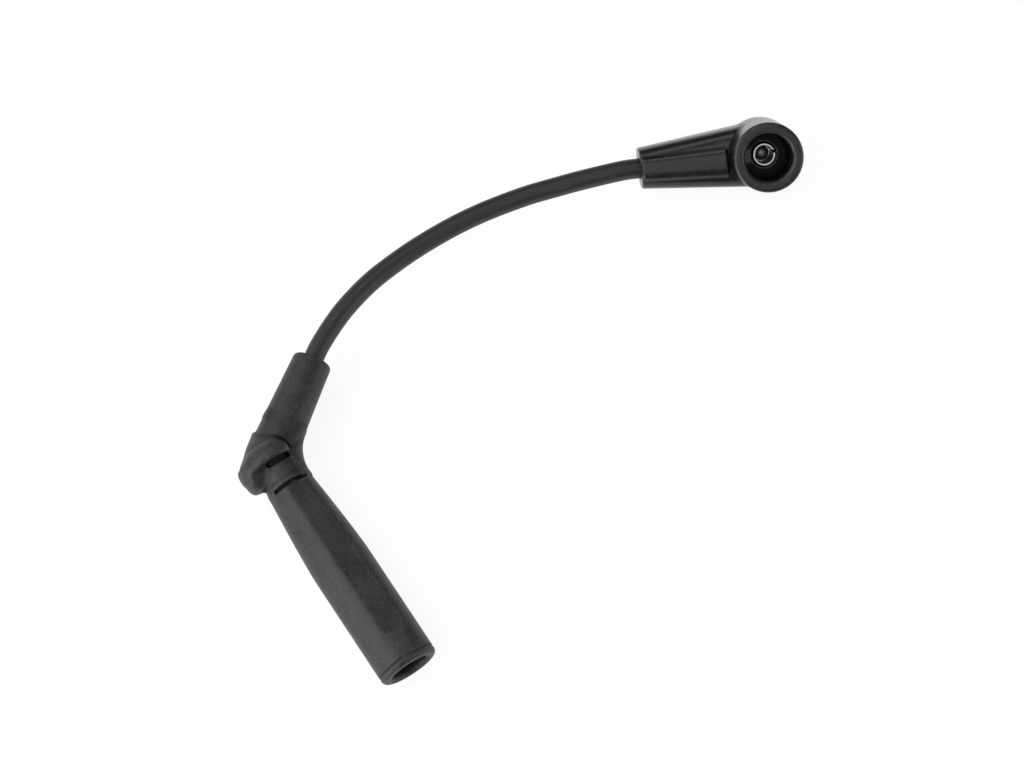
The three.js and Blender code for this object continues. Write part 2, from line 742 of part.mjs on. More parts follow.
// Looks
const plugRubber = { color: 0x2c2c2d, roughness: 0.85, metalness: 0 };
const coilRubber = { color: 0x1d1d1e, roughness: 0.35, metalness: 0 };
const jacketRubber = { color: 0x262627, roughness: 0.6, metalness: 0 };
const plated = { color: 0xb4b6b8, roughness: 0.3, metalness: 1 };
const springSteel = { color: 0x8d9094, roughness: 0.35, metalness: 1 };
const dullMetal = { color: 0x7d7f82, roughness: 0.5, metalness: 1 };
const coreLook = { color: 0x1b1b1b, roughness: 0.9, metalness: 0 };

// The plug end, built round the bend of its boot, then laid on its collar and its mouth
const plugEnd = new THREE.Group();
plugEnd.name = 'plug_end';
plugEnd.add(
  part('plug_boot', plugBoot(), plugRubber),
  part('plug_terminal', plugTerminal(), plated),
  part('plug_terminal_clip', terminalClip(), springSteel),
  part('plug_cable_end', cableEnd(plugCableStart, armLength, armDirection), jacketRubber),
  part('plug_core_end', coreEnd(plugCableStart, armDirection, outOfBend), coreLook),
);
const lieRun = barrelMouthX - rimRound - (collarUndersideX - collarRound);
plugEnd.rotation.y = Math.asin((collarRadius - barrelRadius) / lieRun);

// The coil end, rolled about its level arm as the cable holds it
const coilEnd = new THREE.Group();
coilEnd.name = 'coil_end';
coilEnd.add(
  part('coil_boot', coilBoot(), coilRubber),
  part('coil_terminal', coilTerminal(), plated),
  part('coil_contact', coilContact(), dullMetal),
  part('coil_cable_end', cableEnd(coilCableStart, coilArmLength, AXIS_X), jacketRubber),
  part('coil_core_end', coreEnd(coilCableStart, AXIS_X, AXIS_Z.clone().negate()), coreLook),
);
coilEnd.rotation.set(
  THREE.MathUtils.degToRad(coilRollDeg),
  0,
  THREE.MathUtils.degToRad(coilArmHeadingDeg),
  'ZYX',
);
coilEnd.position.set(coilBootX, coilBootY, 0);

// Each end is set down on the plane
[plugEnd, coilEnd].forEach((end) => {
  end.updateMatrixWorld(true);
  end.position.z = -new THREE.Box3().setFromObject(end, true).min.z;
  end.updateMatrixWorld(true);
});

// The free stretch of cable, from face to face
function freeCable() {
  const leave = (end, direction, length) => [gap, cableLead].map((distance) => end.localToWorld(
    direction.clone().multiplyScalar(length + distance)));
  const route = [
    ...leave(plugEnd, armDirection, armLength),
    ...cableRoute.map((point) => new THREE.Vector3(...point)),
    ...leave(coilEnd, AXIS_X, coilArmLength).reverse(),
  ];
  return solid(swept(circleShape(cableRadius, cableSides), route, cableSteps));
}

const sparkPlugWire = new THREE.Group();
sparkPlugWire.name = 'spark_plug_wire';
sparkPlugWire.add(plugEnd, coilEnd, part('cable', freeCable(), jacketRubber));

// The origin: on the plane, under the middle of the box that holds the two boots
const bootsBox = new THREE.Box3().setFromObject(plugEnd, true).union(new THREE.Box3().setFromObject(coilEnd, true));
const middle = bootsBox.getCenter(new THREE.Vector3());
sparkPlugWire.position.set(-middle.x, -middle.y, 0);
sparkPlugWire.updateMatrixWorld(true);

export default sparkPlugWire;
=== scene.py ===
# %% [markdown]
# # A spark plug wire
# A short ignition lead has three rubber parts: a long bent boot that pushes over a spark plug, a
# right-angle boot that pushes over an ignition coil, and a thin cable between them. Sheet metal
# terminals sit inside the boots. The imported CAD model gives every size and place, and this script
# gives each piece its finer shape and its finish, in the same frame and in metres.

# %% Load the frame
import math

import bpy
import numpy as np
import openvdb
from mathutils import Matrix, Vector


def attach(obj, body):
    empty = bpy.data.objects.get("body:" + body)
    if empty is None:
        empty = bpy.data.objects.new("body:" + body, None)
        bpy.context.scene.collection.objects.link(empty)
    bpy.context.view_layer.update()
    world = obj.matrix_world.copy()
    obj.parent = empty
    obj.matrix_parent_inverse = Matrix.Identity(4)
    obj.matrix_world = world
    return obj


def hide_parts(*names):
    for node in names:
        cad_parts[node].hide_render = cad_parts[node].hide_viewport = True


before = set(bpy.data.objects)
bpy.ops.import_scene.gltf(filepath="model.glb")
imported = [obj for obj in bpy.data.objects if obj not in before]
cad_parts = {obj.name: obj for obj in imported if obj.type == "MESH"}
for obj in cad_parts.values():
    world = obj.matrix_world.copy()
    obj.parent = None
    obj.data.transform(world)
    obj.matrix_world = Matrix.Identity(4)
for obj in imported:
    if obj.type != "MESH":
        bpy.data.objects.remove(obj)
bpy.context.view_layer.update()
MM = 0.001
print("CAD nodes:", sorted(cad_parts))

# %% [markdown]
# ## Camera
# The lead was photographed from high above with a long lens, so that its shape is hardly
# foreshortened. A camera can be aimed with a constraint or with angles. Here its three axes are
# worked out from azimuth, elevation and roll, because then the same numbers always give the same
# picture.

# %% Camera
AZIMUTH, ELEVATION, ROLL = (math.radians(a) for a in (55.45, 70.79, 1.55))
LOOK_AT = Vector((-0.0093, -0.01774, 0.008))
CAMERA_DISTANCE = 1.5
LENS_MM = 153.6


def camera_axes(azimuth, elevation, roll):
    """The camera's right, up and backward directions."""
    back = Vector((
        math.sin(azimuth) * math.cos(elevation),
        -math.cos(azimuth) * math.cos(elevation),
        math.sin(elevation),
    ))
    level = Vector((math.cos(azimuth), math.sin(azimuth), 0))
    right = level * math.cos(roll) + back.cross(level) * math.sin(roll)
    return right, back.cross(right), back


RIGHT, UP, BACK = camera_axes(AZIMUTH, ELEVATION, ROLL)
camera = bpy.data.objects.new("camera", bpy.data.cameras.new("camera"))
bpy.context.scene.collection.objects.link(camera)
camera.data.lens = LENS_MM
camera.data.sensor_width = 36
camera.data.clip_start = 0.05
turn = Matrix((RIGHT, UP, BACK)).transposed().to_4x4()
camera.matrix_world = Matrix.Translation(LOOK_AT + BACK * CAMERA_DISTANCE) @ turn
bpy.context.scene.camera = camera
print("Camera at", [round(x, 3) for x in camera.location])

# %% [markdown]
# ## The cable's route
# A cable has a fixed length and its own stiffness, so its line comes before its surface. The line
# could be drawn by hand as a Bezier curve. It is a Catmull-Rom curve through the same points as in
# the CAD model instead, so that both lie in the same place. Near the boots it leaves straight.

# %% Route of the cable
# Places are in metres, angles in radians, and the other sizes in millimetres.
PLUG_BEND = Vector((-0.03113, -0.10177, 0.01235))
COIL_CENTRE = Vector((-0.03234, 0.1012, 0.01298))
PLUG_DIP = 0.02009
COIL_HEADING = math.radians(-115.17)
COIL_ROLL = math.radians(-27.2)
BEND = math.radians(124.8)
PLUG_ARM = 37.4
COIL_ARM = 43.2
CABLE_RADIUS = 3.5
ROUTE_SHIFT = np.array((-31.1348, -101.7707, 0.0))
ROUTE = [
    (-30.1, 46.6, 12.5), (-33.2, 55.3, 12.1), (-35.4, 64.2, 11.7), (-36.6, 73.2, 11.4),
    (-37.3, 82.2, 11.1), (-37.4, 91.3, 11.0), (-37.0, 100.4, 11.0), (-36.0, 109.5, 11.1),
    (-34.4, 118.4, 11.3), (-32.4, 127.1, 11.6), (-29.8, 135.7, 12.0), (-27.1, 144.3, 12.4),
]
TO_PLUG = Matrix.Translation(PLUG_BEND) @ Matrix.Rotation(PLUG_DIP, 4, "Y")
TO_COIL = (
    Matrix.Translation(COIL_CENTRE)
    @ Matrix.Rotation(COIL_HEADING, 4, "Z")
    @ Matrix.Rotation(COIL_ROLL, 4, "X")
)
ARM = np.array((math.cos(BEND), math.sin(BEND), 0.0))


def placed(place, *point):
    """A point of one end's own frame, in millimetres, as a row frame point in metres."""
    return np.array(place @ (Vector(point) * MM))


def catmull_rom(points, steps):
    """A centripetal Catmull-Rom curve through the points, sampled evenly between each two."""
    points = np.asarray(points, float)
    points = np.vstack([2 * points[0] - points[1], points, 2 * points[-1] - points[-2]])
    line = []
    for a, b, c, d in zip(points, points[1:], points[2:], points[3:]):
        t0 = 0.0
        t1 = t0 + np.linalg.norm(b - a) ** 0.5
        t2 = t1 + np.linalg.norm(c - b) ** 0.5
        t3 = t2 + np.linalg.norm(d - c) ** 0.5
        for t in np.linspace(t1, t2, steps, endpoint=False):
            ab = a + (b - a) * (t - t0) / (t1 - t0)
            bc = b + (c - b) * (t - t1) / (t2 - t1)
            cd = c + (d - c) * (t - t2) / (t3 - t2)
            abc = ab + (bc - ab) * (t - t0) / (t2 - t0)
            bcd = bc + (cd - bc) * (t - t1) / (t3 - t1)
            line.append(abc + (bcd - abc) * (t - t1) / (t2 - t1))
    return np.array(line + [points[-2]])


def leaving(place, direction, length, distances):
    """Points straight out of a boot's arm."""
    return [placed(place, *(direction * (length + far))) for far in distances]


INTO_BOOT = 1.2
LEAD = 5.0
X_AXIS = np.array((1.0, 0.0, 0.0))
cable_points = (
    leaving(TO_PLUG, ARM, PLUG_ARM, (-INTO_BOOT, 0.3, LEAD))
    + [(np.array(p) + ROUTE_SHIFT) * MM for p in ROUTE]
    + leaving(TO_COIL, X_AXIS, COIL_ARM, (LEAD, 0.3, -INTO_BOOT))
)
cable_line = catmull_rom(cable_points, 18)

# %% [markdown]
# ## Round wire along a line
# The cable and the wire clip are both a round section that follows a line. A curve object with a
# bevel could make them, but it gives its surface no coordinates to hang a texture on. This
# Geometry Nodes tree sweeps a circle along the line and stores, for each point, where it would lie
# on a straight cable. A pattern can then run along the cable round every bend.

# %% The sweep tree
def links(tree, *pairs):
    """Links sockets, given as (node, output name, node, input name)."""
    for source, out_name, target, in_name in pairs:
        tree.links.new(source.outputs[out_name], target.inputs[in_name])


def interface(tree, inputs, outputs):
    """Names a tree's sockets, given as (name, socket type, default) for inputs and as
    (name, socket type) for outputs, and returns the identifiers of the inputs."""
    known = {}
    for name, kind, default in inputs:
        socket = tree.interface.new_socket(name=name, in_out="INPUT", socket_type=kind)
        if default is not None:
            socket.default_value = default
        known[name] = socket.identifier
    for name, kind in outputs:
        tree.interface.new_socket(name=name, in_out="OUTPUT", socket_type=kind)
    return known


sweep = bpy.data.node_groups.new("round_sweep", "GeometryNodeTree")
sweep_inputs = interface(
    sweep,
    [
        ("Line", "NodeSocketGeometry", None),
        ("Radius", "NodeSocketFloat", 0.0035),
        ("Sides", "NodeSocketInt", 48),
        ("Finish", "NodeSocketMaterial", None),
    ],
    [("Mesh", "NodeSocketGeometry")],
)
node = sweep.nodes.new
source, result = node("NodeGroupInput"), node("NodeGroupOutput")
as_curve = node("GeometryNodeMeshToCurve")
circle = node("GeometryNodeCurvePrimitiveCircle")
along, across = node("GeometryNodeCaptureAttribute"), node("GeometryNodeCaptureAttribute")
along.capture_items.new("FLOAT", "Along")
across.capture_items.new("VECTOR", "Across")
parameter, position = node("GeometryNodeSplineParameter"), node("GeometryNodeInputPosition")
tube = node("GeometryNodeCurveToMesh")
tube.inputs["Fill Caps"].default_value = True
split, combine = node("ShaderNodeSeparateXYZ"), node("ShaderNodeCombineXYZ")
store = node("GeometryNodeStoreNamedAttribute")
store.data_type, store.domain = "FLOAT_VECTOR", "POINT"
store.inputs["Name"].default_value = "straight"
smooth, real = node("GeometryNodeSetShadeSmooth"), node("GeometryNodeRealizeInstances")
painted = node("GeometryNodeSetMaterial")
links(
    sweep,
    (source, "Line", as_curve, "Mesh"),
    (source, "Sides", circle, "Resolution"),
    (source, "Radius", circle, "Radius"),
    (as_curve, "Curve", along, "Geometry"),
    (parameter, "Length", along, "Along"),
    (circle, "Curve", across, "Geometry"),
    (position, "Position", across, "Across"),
    (along, "Geometry", tube, "Curve"),
    (across, "Geometry", tube, "Profile Curve"),
    (across, "Across", split, "Vector"),
    (split, "X", combine, "X"),
    (split, "Y", combine, "Y"),
    (along, "Along", combine, "Z"),
    (tube, "Mesh", store, "Geometry"),
    (combine, "Vector", store, "Value"),
    (store, "Geometry", smooth, "Geometry"),
    (smooth, "Geometry", real, "Geometry"),
    (real, "Geometry", painted, "Geometry"),
    (source, "Finish", painted, "Material"),
    (painted, "Geometry", result, "Mesh"),
)
print("Sweep tree:", len(sweep.nodes), "nodes")


# %% Swept pieces
def outward(mesh):
    """Turns a closed mesh's faces outwards where its volume comes out negative."""
    corners = np.empty(len(mesh.vertices) * 3, np.float32)
    mesh.vertices.foreach_get("co", corners)
    corners = corners.reshape(-1, 3).astype(float)
    mesh.calc_loop_triangles()
    faces = np.empty(len(mesh.loop_triangles) * 3, np.int32)
    mesh.loop_triangles.foreach_get("vertices", faces)
    a, b, c = (corners[faces.reshape(-1, 3)[:, k]] for k in range(3))
    if np.einsum("ij,ij->i", a, np.cross(b, c)).sum() < 0:
        mesh.flip_normals()


def swept(name, line, radius, sides, material):
    """A piece made by the sweep tree and turned into a plain mesh."""
    drawn = bpy.data.meshes.new(name + "_line")
    drawn.from_pydata([tuple(p) for p in line], [(i, i + 1) for i in range(len(line) - 1)], [])
    carrier = bpy.data.objects.new(name, drawn)
    bpy.context.scene.collection.objects.link(carrier)
    modifier = carrier.modifiers.new("sweep", "NODES")
    modifier.node_group = sweep
    for label, value in (("Radius", radius), ("Sides", sides), ("Finish", material)):
        modifier[sweep_inputs[label]] = value
    ready = carrier.evaluated_get(bpy.context.evaluated_depsgraph_get())
    mesh = bpy.data.meshes.new_from_object(ready)
    carrier.modifiers.clear()
    carrier.data = mesh
    bpy.data.meshes.remove(drawn)
    outward(mesh)
    print(name, len(mesh.polygons), "faces")
    return carrier


# %% [markdown]
# ## Surface effects as shader groups
# Old rubber is never one flat black. It has a grey bloom in patches, a fine moulded grain, specks
# of dust and edges that are rubbed, and its hollows get painted shade, nearly black. Plated sheet
# has fine scratches and dull patches. Each effect is one node group that returns colour, roughness
# and height, and for rubber how much it shines. Every material places a group with its own values.

# %% Shader helpers
MIX_SHARE, MIX_FIRST, MIX_SECOND, MIX_RESULT = 0, 6, 7, 2


def shader_group(name, inputs, outputs):
    """An empty shader group with its input and output nodes."""
    tree = bpy.data.node_groups.new(name, "ShaderNodeTree")
    interface(tree, inputs, outputs)
    return tree, tree.nodes.new("NodeGroupInput"), tree.nodes.new("NodeGroupOutput")


def feed(tree, socket, value):
    """Gives a socket a number, a colour or what another socket gives."""
    if isinstance(value, (int, float)):
        socket.default_value = value
    elif isinstance(value, tuple):
        socket.default_value = (*value, 1.0)
    else:
        tree.links.new(value, socket)


def feed_all(tree, target, values):
    """Feeds a node's inputs by their names."""
    for label, value in values.items():
        feed(tree, target.inputs[label], value)


def maths(tree, operation, first, second, clamp=False):
    """A math node on sockets or numbers; returns its output."""
    made = tree.nodes.new("ShaderNodeMath")
    made.operation, made.use_clamp = operation, clamp
    feed(tree, made.inputs[0], first)
    feed(tree, made.inputs[1], second)
    return made.outputs[0]


def weighted_sum(tree, *terms):
    """Sockets times their weights, added up; the terms are (socket, weight)."""
    total = None
    for socket, weight in terms:
        part = maths(tree, "MULTIPLY", socket, weight)
        total = part if total is None else maths(tree, "ADD", total, part)
    return total


def noise(tree, vector, scale, detail=4.0, roughness=0.55):
    """A noise texture's value; scale may be a socket or a number of features a metre."""
    made = tree.nodes.new("ShaderNodeTexNoise")
    feed_all(tree, made, {
        "Vector": vector, "Scale": scale, "Detail": detail, "Roughness": roughness,
    })
    return made.outputs[0]


def remap(tree, value, low, high, to_low=0.0, to_high=1.0, rise="SMOOTHSTEP"):
    """Low to high becomes to_low to to_high, smoothly unless another rise is asked for."""
    made = tree.nodes.new("ShaderNodeMapRange")
    made.interpolation_type = rise
    feed_all(tree, made, {
        "Value": value, "From Min": low, "From Max": high, "To Min": to_low, "To Max": to_high,
    })
    return made.outputs[0]


def mix_colour(tree, share, first, second):
    """A colour mix of two sockets or colours."""
    made = tree.nodes.new("ShaderNodeMix")
    made.data_type = "RGBA"
    for index, value in ((MIX_SHARE, share), (MIX_FIRST, first), (MIX_SECOND, second)):
        feed(tree, made.inputs[index], value)
    return made.outputs[MIX_RESULT]


def grey(level):
    return (level, level, level)


# %% Moulded rubber group
COLOUR, FLOAT, VECTOR = "NodeSocketColor", "NodeSocketFloat", "NodeSocketVector"
# Scales are in features a metre.
MOTTLE_SCALE, GRAIN_SCALE, RUB_SCALE, SPECK_SCALE = 800.0, 2400.0, 420.0, 900.0
# Painted shade: hollows and bores are darkened towards this black and shine less.
SPECK_GREY, SHADE_BLACK = grey(0.16), grey(0.002)
OPEN_SHINE, SHADE_SHINE = 0.5, 0.1
rubber, rubber_in, rubber_out = shader_group(
    "moulded_rubber",
    [
        ("Place", VECTOR, None),
        ("Edge", FLOAT, 0.0),
        ("Painted shade", FLOAT, 0.0),
        ("Dark", COLOUR, (0.02, 0.02, 0.02, 1)),
        ("Bloom", COLOUR, (0.06, 0.06, 0.06, 1)),
        ("Bloom amount", FLOAT, 0.5),
        ("Patch scale", FLOAT, 120.0),
        ("Speck amount", FLOAT, 0.3),
        ("Edge rub", FLOAT, 0.3),
        ("Gloss", FLOAT, 0.45),
        ("Dull", FLOAT, 0.7),
    ],
    [("Color", COLOUR), ("Roughness", FLOAT), ("Height", FLOAT), ("Shine", FLOAT)],
)
given = rubber_in.outputs
place = given["Place"]
patches = remap(rubber, noise(rubber, place, given["Patch scale"], 6, 0.62), 0.35, 0.7)
mottle = remap(rubber, noise(rubber, place, MOTTLE_SCALE, 4, 0.6), 0.36, 0.66)
grain = noise(rubber, place, GRAIN_SCALE, 2)
strong_grain = remap(rubber, grain, 0.4, 0.65)
bloom = weighted_sum(rubber, (patches, 0.45), (mottle, 0.35), (strong_grain, 0.3))
bloom = maths(rubber, "MULTIPLY", bloom, given["Bloom amount"])
rubbed = maths(rubber, "MULTIPLY", given["Edge"], given["Edge rub"])
uneven = remap(rubber, noise(rubber, place, RUB_SCALE, 4), 0.3, 0.6, 0.35, 1.0)
rubbed = maths(rubber, "MULTIPLY", rubbed, uneven)
bloom = maths(rubber, "ADD", bloom, rubbed, clamp=True)

dots = rubber.nodes.new("ShaderNodeTexVoronoi")
feed_all(rubber, dots, {"Scale": SPECK_SCALE, "Vector": place})
near = remap(rubber, dots.outputs["Distance"], 0.08, 0.32, 1.0, 0.0)
chosen = rubber.nodes.new("ShaderNodeSeparateColor")
feed(rubber, chosen.inputs[0], dots.outputs["Color"])
rare = remap(rubber, chosen.outputs[0], 0.6, 1.0)
specks = maths(rubber, "MULTIPLY", near, rare)
specks = maths(rubber, "MULTIPLY", specks, given["Speck amount"], clamp=True)

skin = mix_colour(rubber, bloom, given["Dark"], given["Bloom"])
skin = mix_colour(rubber, specks, skin, SPECK_GREY)
# Painted shade darkens the hollows and bores and makes them matt, and below turns their shine down.
skin = mix_colour(rubber, given["Painted shade"], skin, SHADE_BLACK)
matt = maths(rubber, "ADD", bloom, given["Painted shade"], clamp=True)
matt = maths(rubber, "ADD", matt, specks, clamp=True)
feed_all(rubber, rubber_out, {
    "Color": skin,
    "Roughness": remap(rubber, matt, 0.0, 1.0, given["Gloss"], given["Dull"], "LINEAR"),
    "Height": weighted_sum(rubber, (grain, 0.5), (mottle, 0.35), (specks, 0.5)),
    "Shine": remap(rubber, given["Painted shade"], 0.0, 1.0, OPEN_SHINE, SHADE_SHINE),
})
print("Rubber group:", len(rubber.nodes), "nodes")

# %% Plated sheet group
BLOTCH_SCALE = 380.0
SCRATCH_STRETCH = 0.08
plated, plated_in, plated_out = shader_group(
    "plated_sheet",
    [
        ("Place", VECTOR, None),
        ("Edge", FLOAT, 0.0),
        ("Bright", COLOUR, (0.72, 0.73, 0.74, 1)),
        ("Tarnish", COLOUR, (0.25, 0.25, 0.25, 1)),
        ("Tarnish amount", FLOAT, 0.4),
        ("Scratch scale", FLOAT, 1500.0),
        ("Gloss", FLOAT, 0.2),
        ("Dull", FLOAT, 0.5),
    ],
    [("Color", COLOUR), ("Roughness", FLOAT), ("Height", FLOAT)],
)
given = plated_in.outputs
place = given["Place"]
stretch = plated.nodes.new("ShaderNodeMapping")
stretch.inputs["Scale"].default_value = (1.0, 1.0, SCRATCH_STRETCH)
feed(plated, stretch.inputs["Vector"], place)
scratches = noise(plated, stretch.outputs[0], given["Scratch scale"], 3)
blotches = remap(plated, noise(plated, place, BLOTCH_SCALE, 5, 0.6), 0.4, 0.68)
stained = maths(plated, "MULTIPLY", blotches, given["Tarnish amount"])
polished = maths(plated, "MULTIPLY", given["Edge"], 0.5)
stained = maths(plated, "SUBTRACT", stained, polished, clamp=True)
scratched = maths(plated, "MULTIPLY", scratches, 0.35)
worn = maths(plated, "ADD", stained, scratched, clamp=True)
feed_all(plated, plated_out, {
    "Color": mix_colour(plated, stained, given["Bright"], given["Tarnish"]),
    "Roughness": remap(plated, worn, 0.0, 1.0, given["Gloss"], given["Dull"], "LINEAR"),
    "Height": scratches,
})
print("Plating group:", len(plated.nodes), "nodes")

# %% [markdown]
# ## The materials
# Every finish is a Principled BSDF fed by one of the groups. The two boots are different rubbers:
# the plug boot is dusty and matt, the coil boot still has its shine. The cable's jacket reads the
# stored straight coordinates, so its faint drawn lines run along it.

# %% Materials
def attribute(tree, name, output):
    """What a mesh attribute gives."""
    read = tree.nodes.new("ShaderNodeAttribute")
    read.attribute_name = name
    return read.outputs[output]


def finish(name, group, values, bump, metallic=0.0, coordinates=None, along=1.0):
    """A material whose look comes from a group. Its pattern follows the object's own coordinates,
    or those of an attribute, and a low value of along draws it out along z."""
    material = bpy.data.materials.new(name)
    material.use_nodes = True
    tree = material.node_tree
    shader = tree.nodes["Principled BSDF"]
    shader.inputs["Metallic"].default_value = metallic
    effect = tree.nodes.new("ShaderNodeGroup")
    effect.node_tree = group
    feed_all(tree, effect, values)
    if coordinates:
        where = attribute(tree, coordinates, "Vector")
    else:
        where = tree.nodes.new("ShaderNodeTexCoord").outputs["Object"]
    mapping = tree.nodes.new("ShaderNodeMapping")
    mapping.inputs["Scale"].default_value = (1.0, 1.0, along)
    feed(tree, mapping.inputs["Vector"], where)
    feed(tree, effect.inputs["Place"], mapping.outputs[0])
    feed(tree, effect.inputs["Edge"], attribute(tree, "edge", "Fac"))
    # The painted shade stored on the mesh darkens hollows and bores and turns down their shine.
    if "Painted shade" in effect.inputs:
        feed(tree, effect.inputs["Painted shade"], attribute(tree, "painted_shade", "Fac"))
        feed(tree, shader.inputs["Specular IOR Level"], effect.outputs["Shine"])
    relief = tree.nodes.new("ShaderNodeBump")
    feed_all(tree, relief, {"Distance": bump, "Strength": 1.0})
    links(
        tree,
        (effect, "Color", shader, "Base Color"),
        (effect, "Roughness", shader, "Roughness"),
        (effect, "Height", relief, "Height"),
        (relief, "Normal", shader, "Normal"),
    )
    return material


PLUG_RUBBER = finish("plug_rubber", rubber, {
    "Dark": grey(0.003), "Bloom": grey(0.047), "Bloom amount": 0.66, "Patch scale": 130.0,
    "Speck amount": 0.4, "Edge rub": 0.4, "Gloss": 0.38, "Dull": 0.7,
}, bump=0.00014)
COIL_RUBBER = finish("coil_rubber", rubber, {
    "Dark": grey(0.005), "Bloom": grey(0.028), "Bloom amount": 0.42, "Patch scale": 150.0,
    "Speck amount": 0.3, "Edge rub": 0.5, "Gloss": 0.18, "Dull": 0.4,
}, bump=0.00003)
JACKET = finish("jacket", rubber, {
    "Dark": grey(0.014), "Bloom": grey(0.03), "Bloom amount": 0.4, "Patch scale": 260.0,
    "Speck amount": 0.2, "Edge rub": 0.0, "Gloss": 0.42, "Dull": 0.62,
}, bump=0.00003, coordinates="straight", along=0.12)
PLATED_STEEL = finish("plated_steel", plated, {
    "Bright": (0.5, 0.5, 0.51), "Tarnish": grey(0.12), "Tarnish amount": 0.65,
    "Gloss": 0.16, "Dull": 0.45,
}, bump=0.00001, metallic=1.0)
SPRING_STEEL = finish("spring_steel", plated, {
    "Bright": (0.5, 0.51, 0.53), "Tarnish": grey(0.2), "Tarnish amount": 0.3,
    "Gloss": 0.25, "Dull": 0.45,
}, bump=0.00001, metallic=1.0)
DULL_CONTACT = finish("dull_contact", plated, {
    "Bright": grey(0.3), "Tarnish": grey(0.12), "Tarnish amount": 0.6,
    "Gloss": 0.4, "Dull": 0.65,
}, bump=0.00003, metallic=1.0)
CARBON_CORE = finish("carbon_core", rubber, {
    "Dark": grey(0.012), "Bloom": grey(0.04), "Bloom amount": 0.5, "Patch scale": 800.0,
    "Speck amount": 0.1, "Edge rub": 0.0, "Gloss": 0.55, "Dull": 0.8,
}, bump=0.00006)
print("Materials:", len(bpy.data.materials))

# %% [markdown]
# ## The free cable
# A 7 mm ignition cable with a satin black jacket. It runs a little way into each boot, as the real
# one does, so that no gap shows at the ends of the arms.

# %% Cable
cable = swept("cable_jacket", cable_line, CABLE_RADIUS * MM, 48, JACKET)
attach(cable, "root")
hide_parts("cable")

# %% [markdown]
# ## Solids as distances
# A boot is one rubber moulding with soft edges and fillets everywhere. Joined and bevelled
# primitives would need every fillet by hand. Here a solid is a function that says how far a point
# is from its surface, negative inside. Joining two is then a minimum and cutting is a maximum, and
# a rounded minimum or maximum leaves a fillet or a rounded edge of a known radius. OpenVDB, which
# comes with Blender, turns the function into a mesh, and each vertex is then drawn exactly onto
# the surface.

# %% Distance tools
def both(a, b, radius=0.0):
    """Where two solids overlap, with the edge between them rounded."""
    a, b = a + radius, b + radius
    return np.hypot(np.maximum(a, 0), np.maximum(b, 0)) + np.minimum(np.maximum(a, b), 0) - radius


def either(a, b, radius=0.0):
    """Two solids joined, with a fillet between them."""
    return -both(-a, -b, radius)


def without(a, b, radius=0.0):
    """A solid cut by another."""
    return both(a, -b, radius)


def step(value, low, high):
    """0 below low, 1 above high, and a smooth rise between them."""
    t = np.clip((value - low) / (high - low), 0, 1)
    return t * t * (3 - 2 * t)


def bead(value, centre, half_width):
    """A soft bump of height 1 around a place."""
    return np.exp(-(((value - centre) / half_width) ** 2))


def slope_of(distance, points, reach):
    """The function's value and gradient at points, and the sum of its second differences."""
    here = distance(*points.T)
    gradient = np.empty_like(points)
    bulge = np.zeros(len(points))
    for axis in range(3):
        offset = np.zeros(3)
        offset[axis] = reach
        ahead, behind = distance(*(points + offset).T), distance(*(points - offset).T)
        gradient[:, axis] = (ahead - behind) / (2 * reach)
        bulge += (ahead + behind - 2 * here) / reach**2
    return here, gradient, bulge


# %% From distances to meshes
def surface_of(distance, low, high, voxel):
    """The points and quads of a distance function's surface within a box, in millimetres."""
    low = np.array(low, float) - 2 * voxel
    counts = np.ceil((np.array(high, float) + 2 * voxel - low) / voxel).astype(int) + 1
    xs, ys, zs = (low[k] + voxel * np.arange(counts[k]) for k in range(3))
    y, z = np.meshgrid(ys, zs, indexing="ij")
    field = np.empty(counts, np.float32)
    for i, x in enumerate(xs):
        field[i] = distance(np.full_like(y, x), y, z)
    grid = openvdb.FloatGrid()
    grid.copyFromArray(field)
    points, quads = grid.convertToQuads(isovalue=0.0)[:2]
    points = low + voxel * np.asarray(points, float)
    for _ in range(4):
        here, gradient = slope_of(distance, points, 0.1 * voxel)[:2]
        size = np.maximum((gradient**2).sum(1), 0.05)
        move = np.clip(here / size, -0.4 * voxel, 0.4 * voxel)
        points -= move[:, None] * gradient
    return points, np.asarray(quads, np.int32)


def quad_mesh(name, corners, quads):
    """A smooth mesh of quads with its faces outwards."""
    mesh = bpy.data.meshes.new(name)
    mesh.vertices.add(len(corners))
    mesh.vertices.foreach_set("co", corners.astype(np.float32).ravel())
    mesh.loops.add(quads.size)
    mesh.loops.foreach_set("vertex_index", quads.ravel())
    mesh.polygons.add(len(quads))
    mesh.polygons.foreach_set("loop_start", np.arange(0, quads.size, 4, dtype=np.int32))
    mesh.update(calc_edges=True)
    mesh.validate()
    mesh.polygons.foreach_set("use_smooth", np.ones(len(mesh.polygons), bool))
    outward(mesh)
    return mesh


def paint(mesh, name, values):
    """Stores a value from 0 to 1 at each vertex, for the shader groups."""
    layer = mesh.attributes.new(name, "FLOAT", "POINT")
    layer.data.foreach_set("value", np.clip(values, 0, 1).astype(np.float32))


# %% A finished piece
EDGE_REACH, EDGE_GAIN = 0.5, 0.8
HOLLOW_REACH, HOLLOW_GAIN = 0.9, 0.9


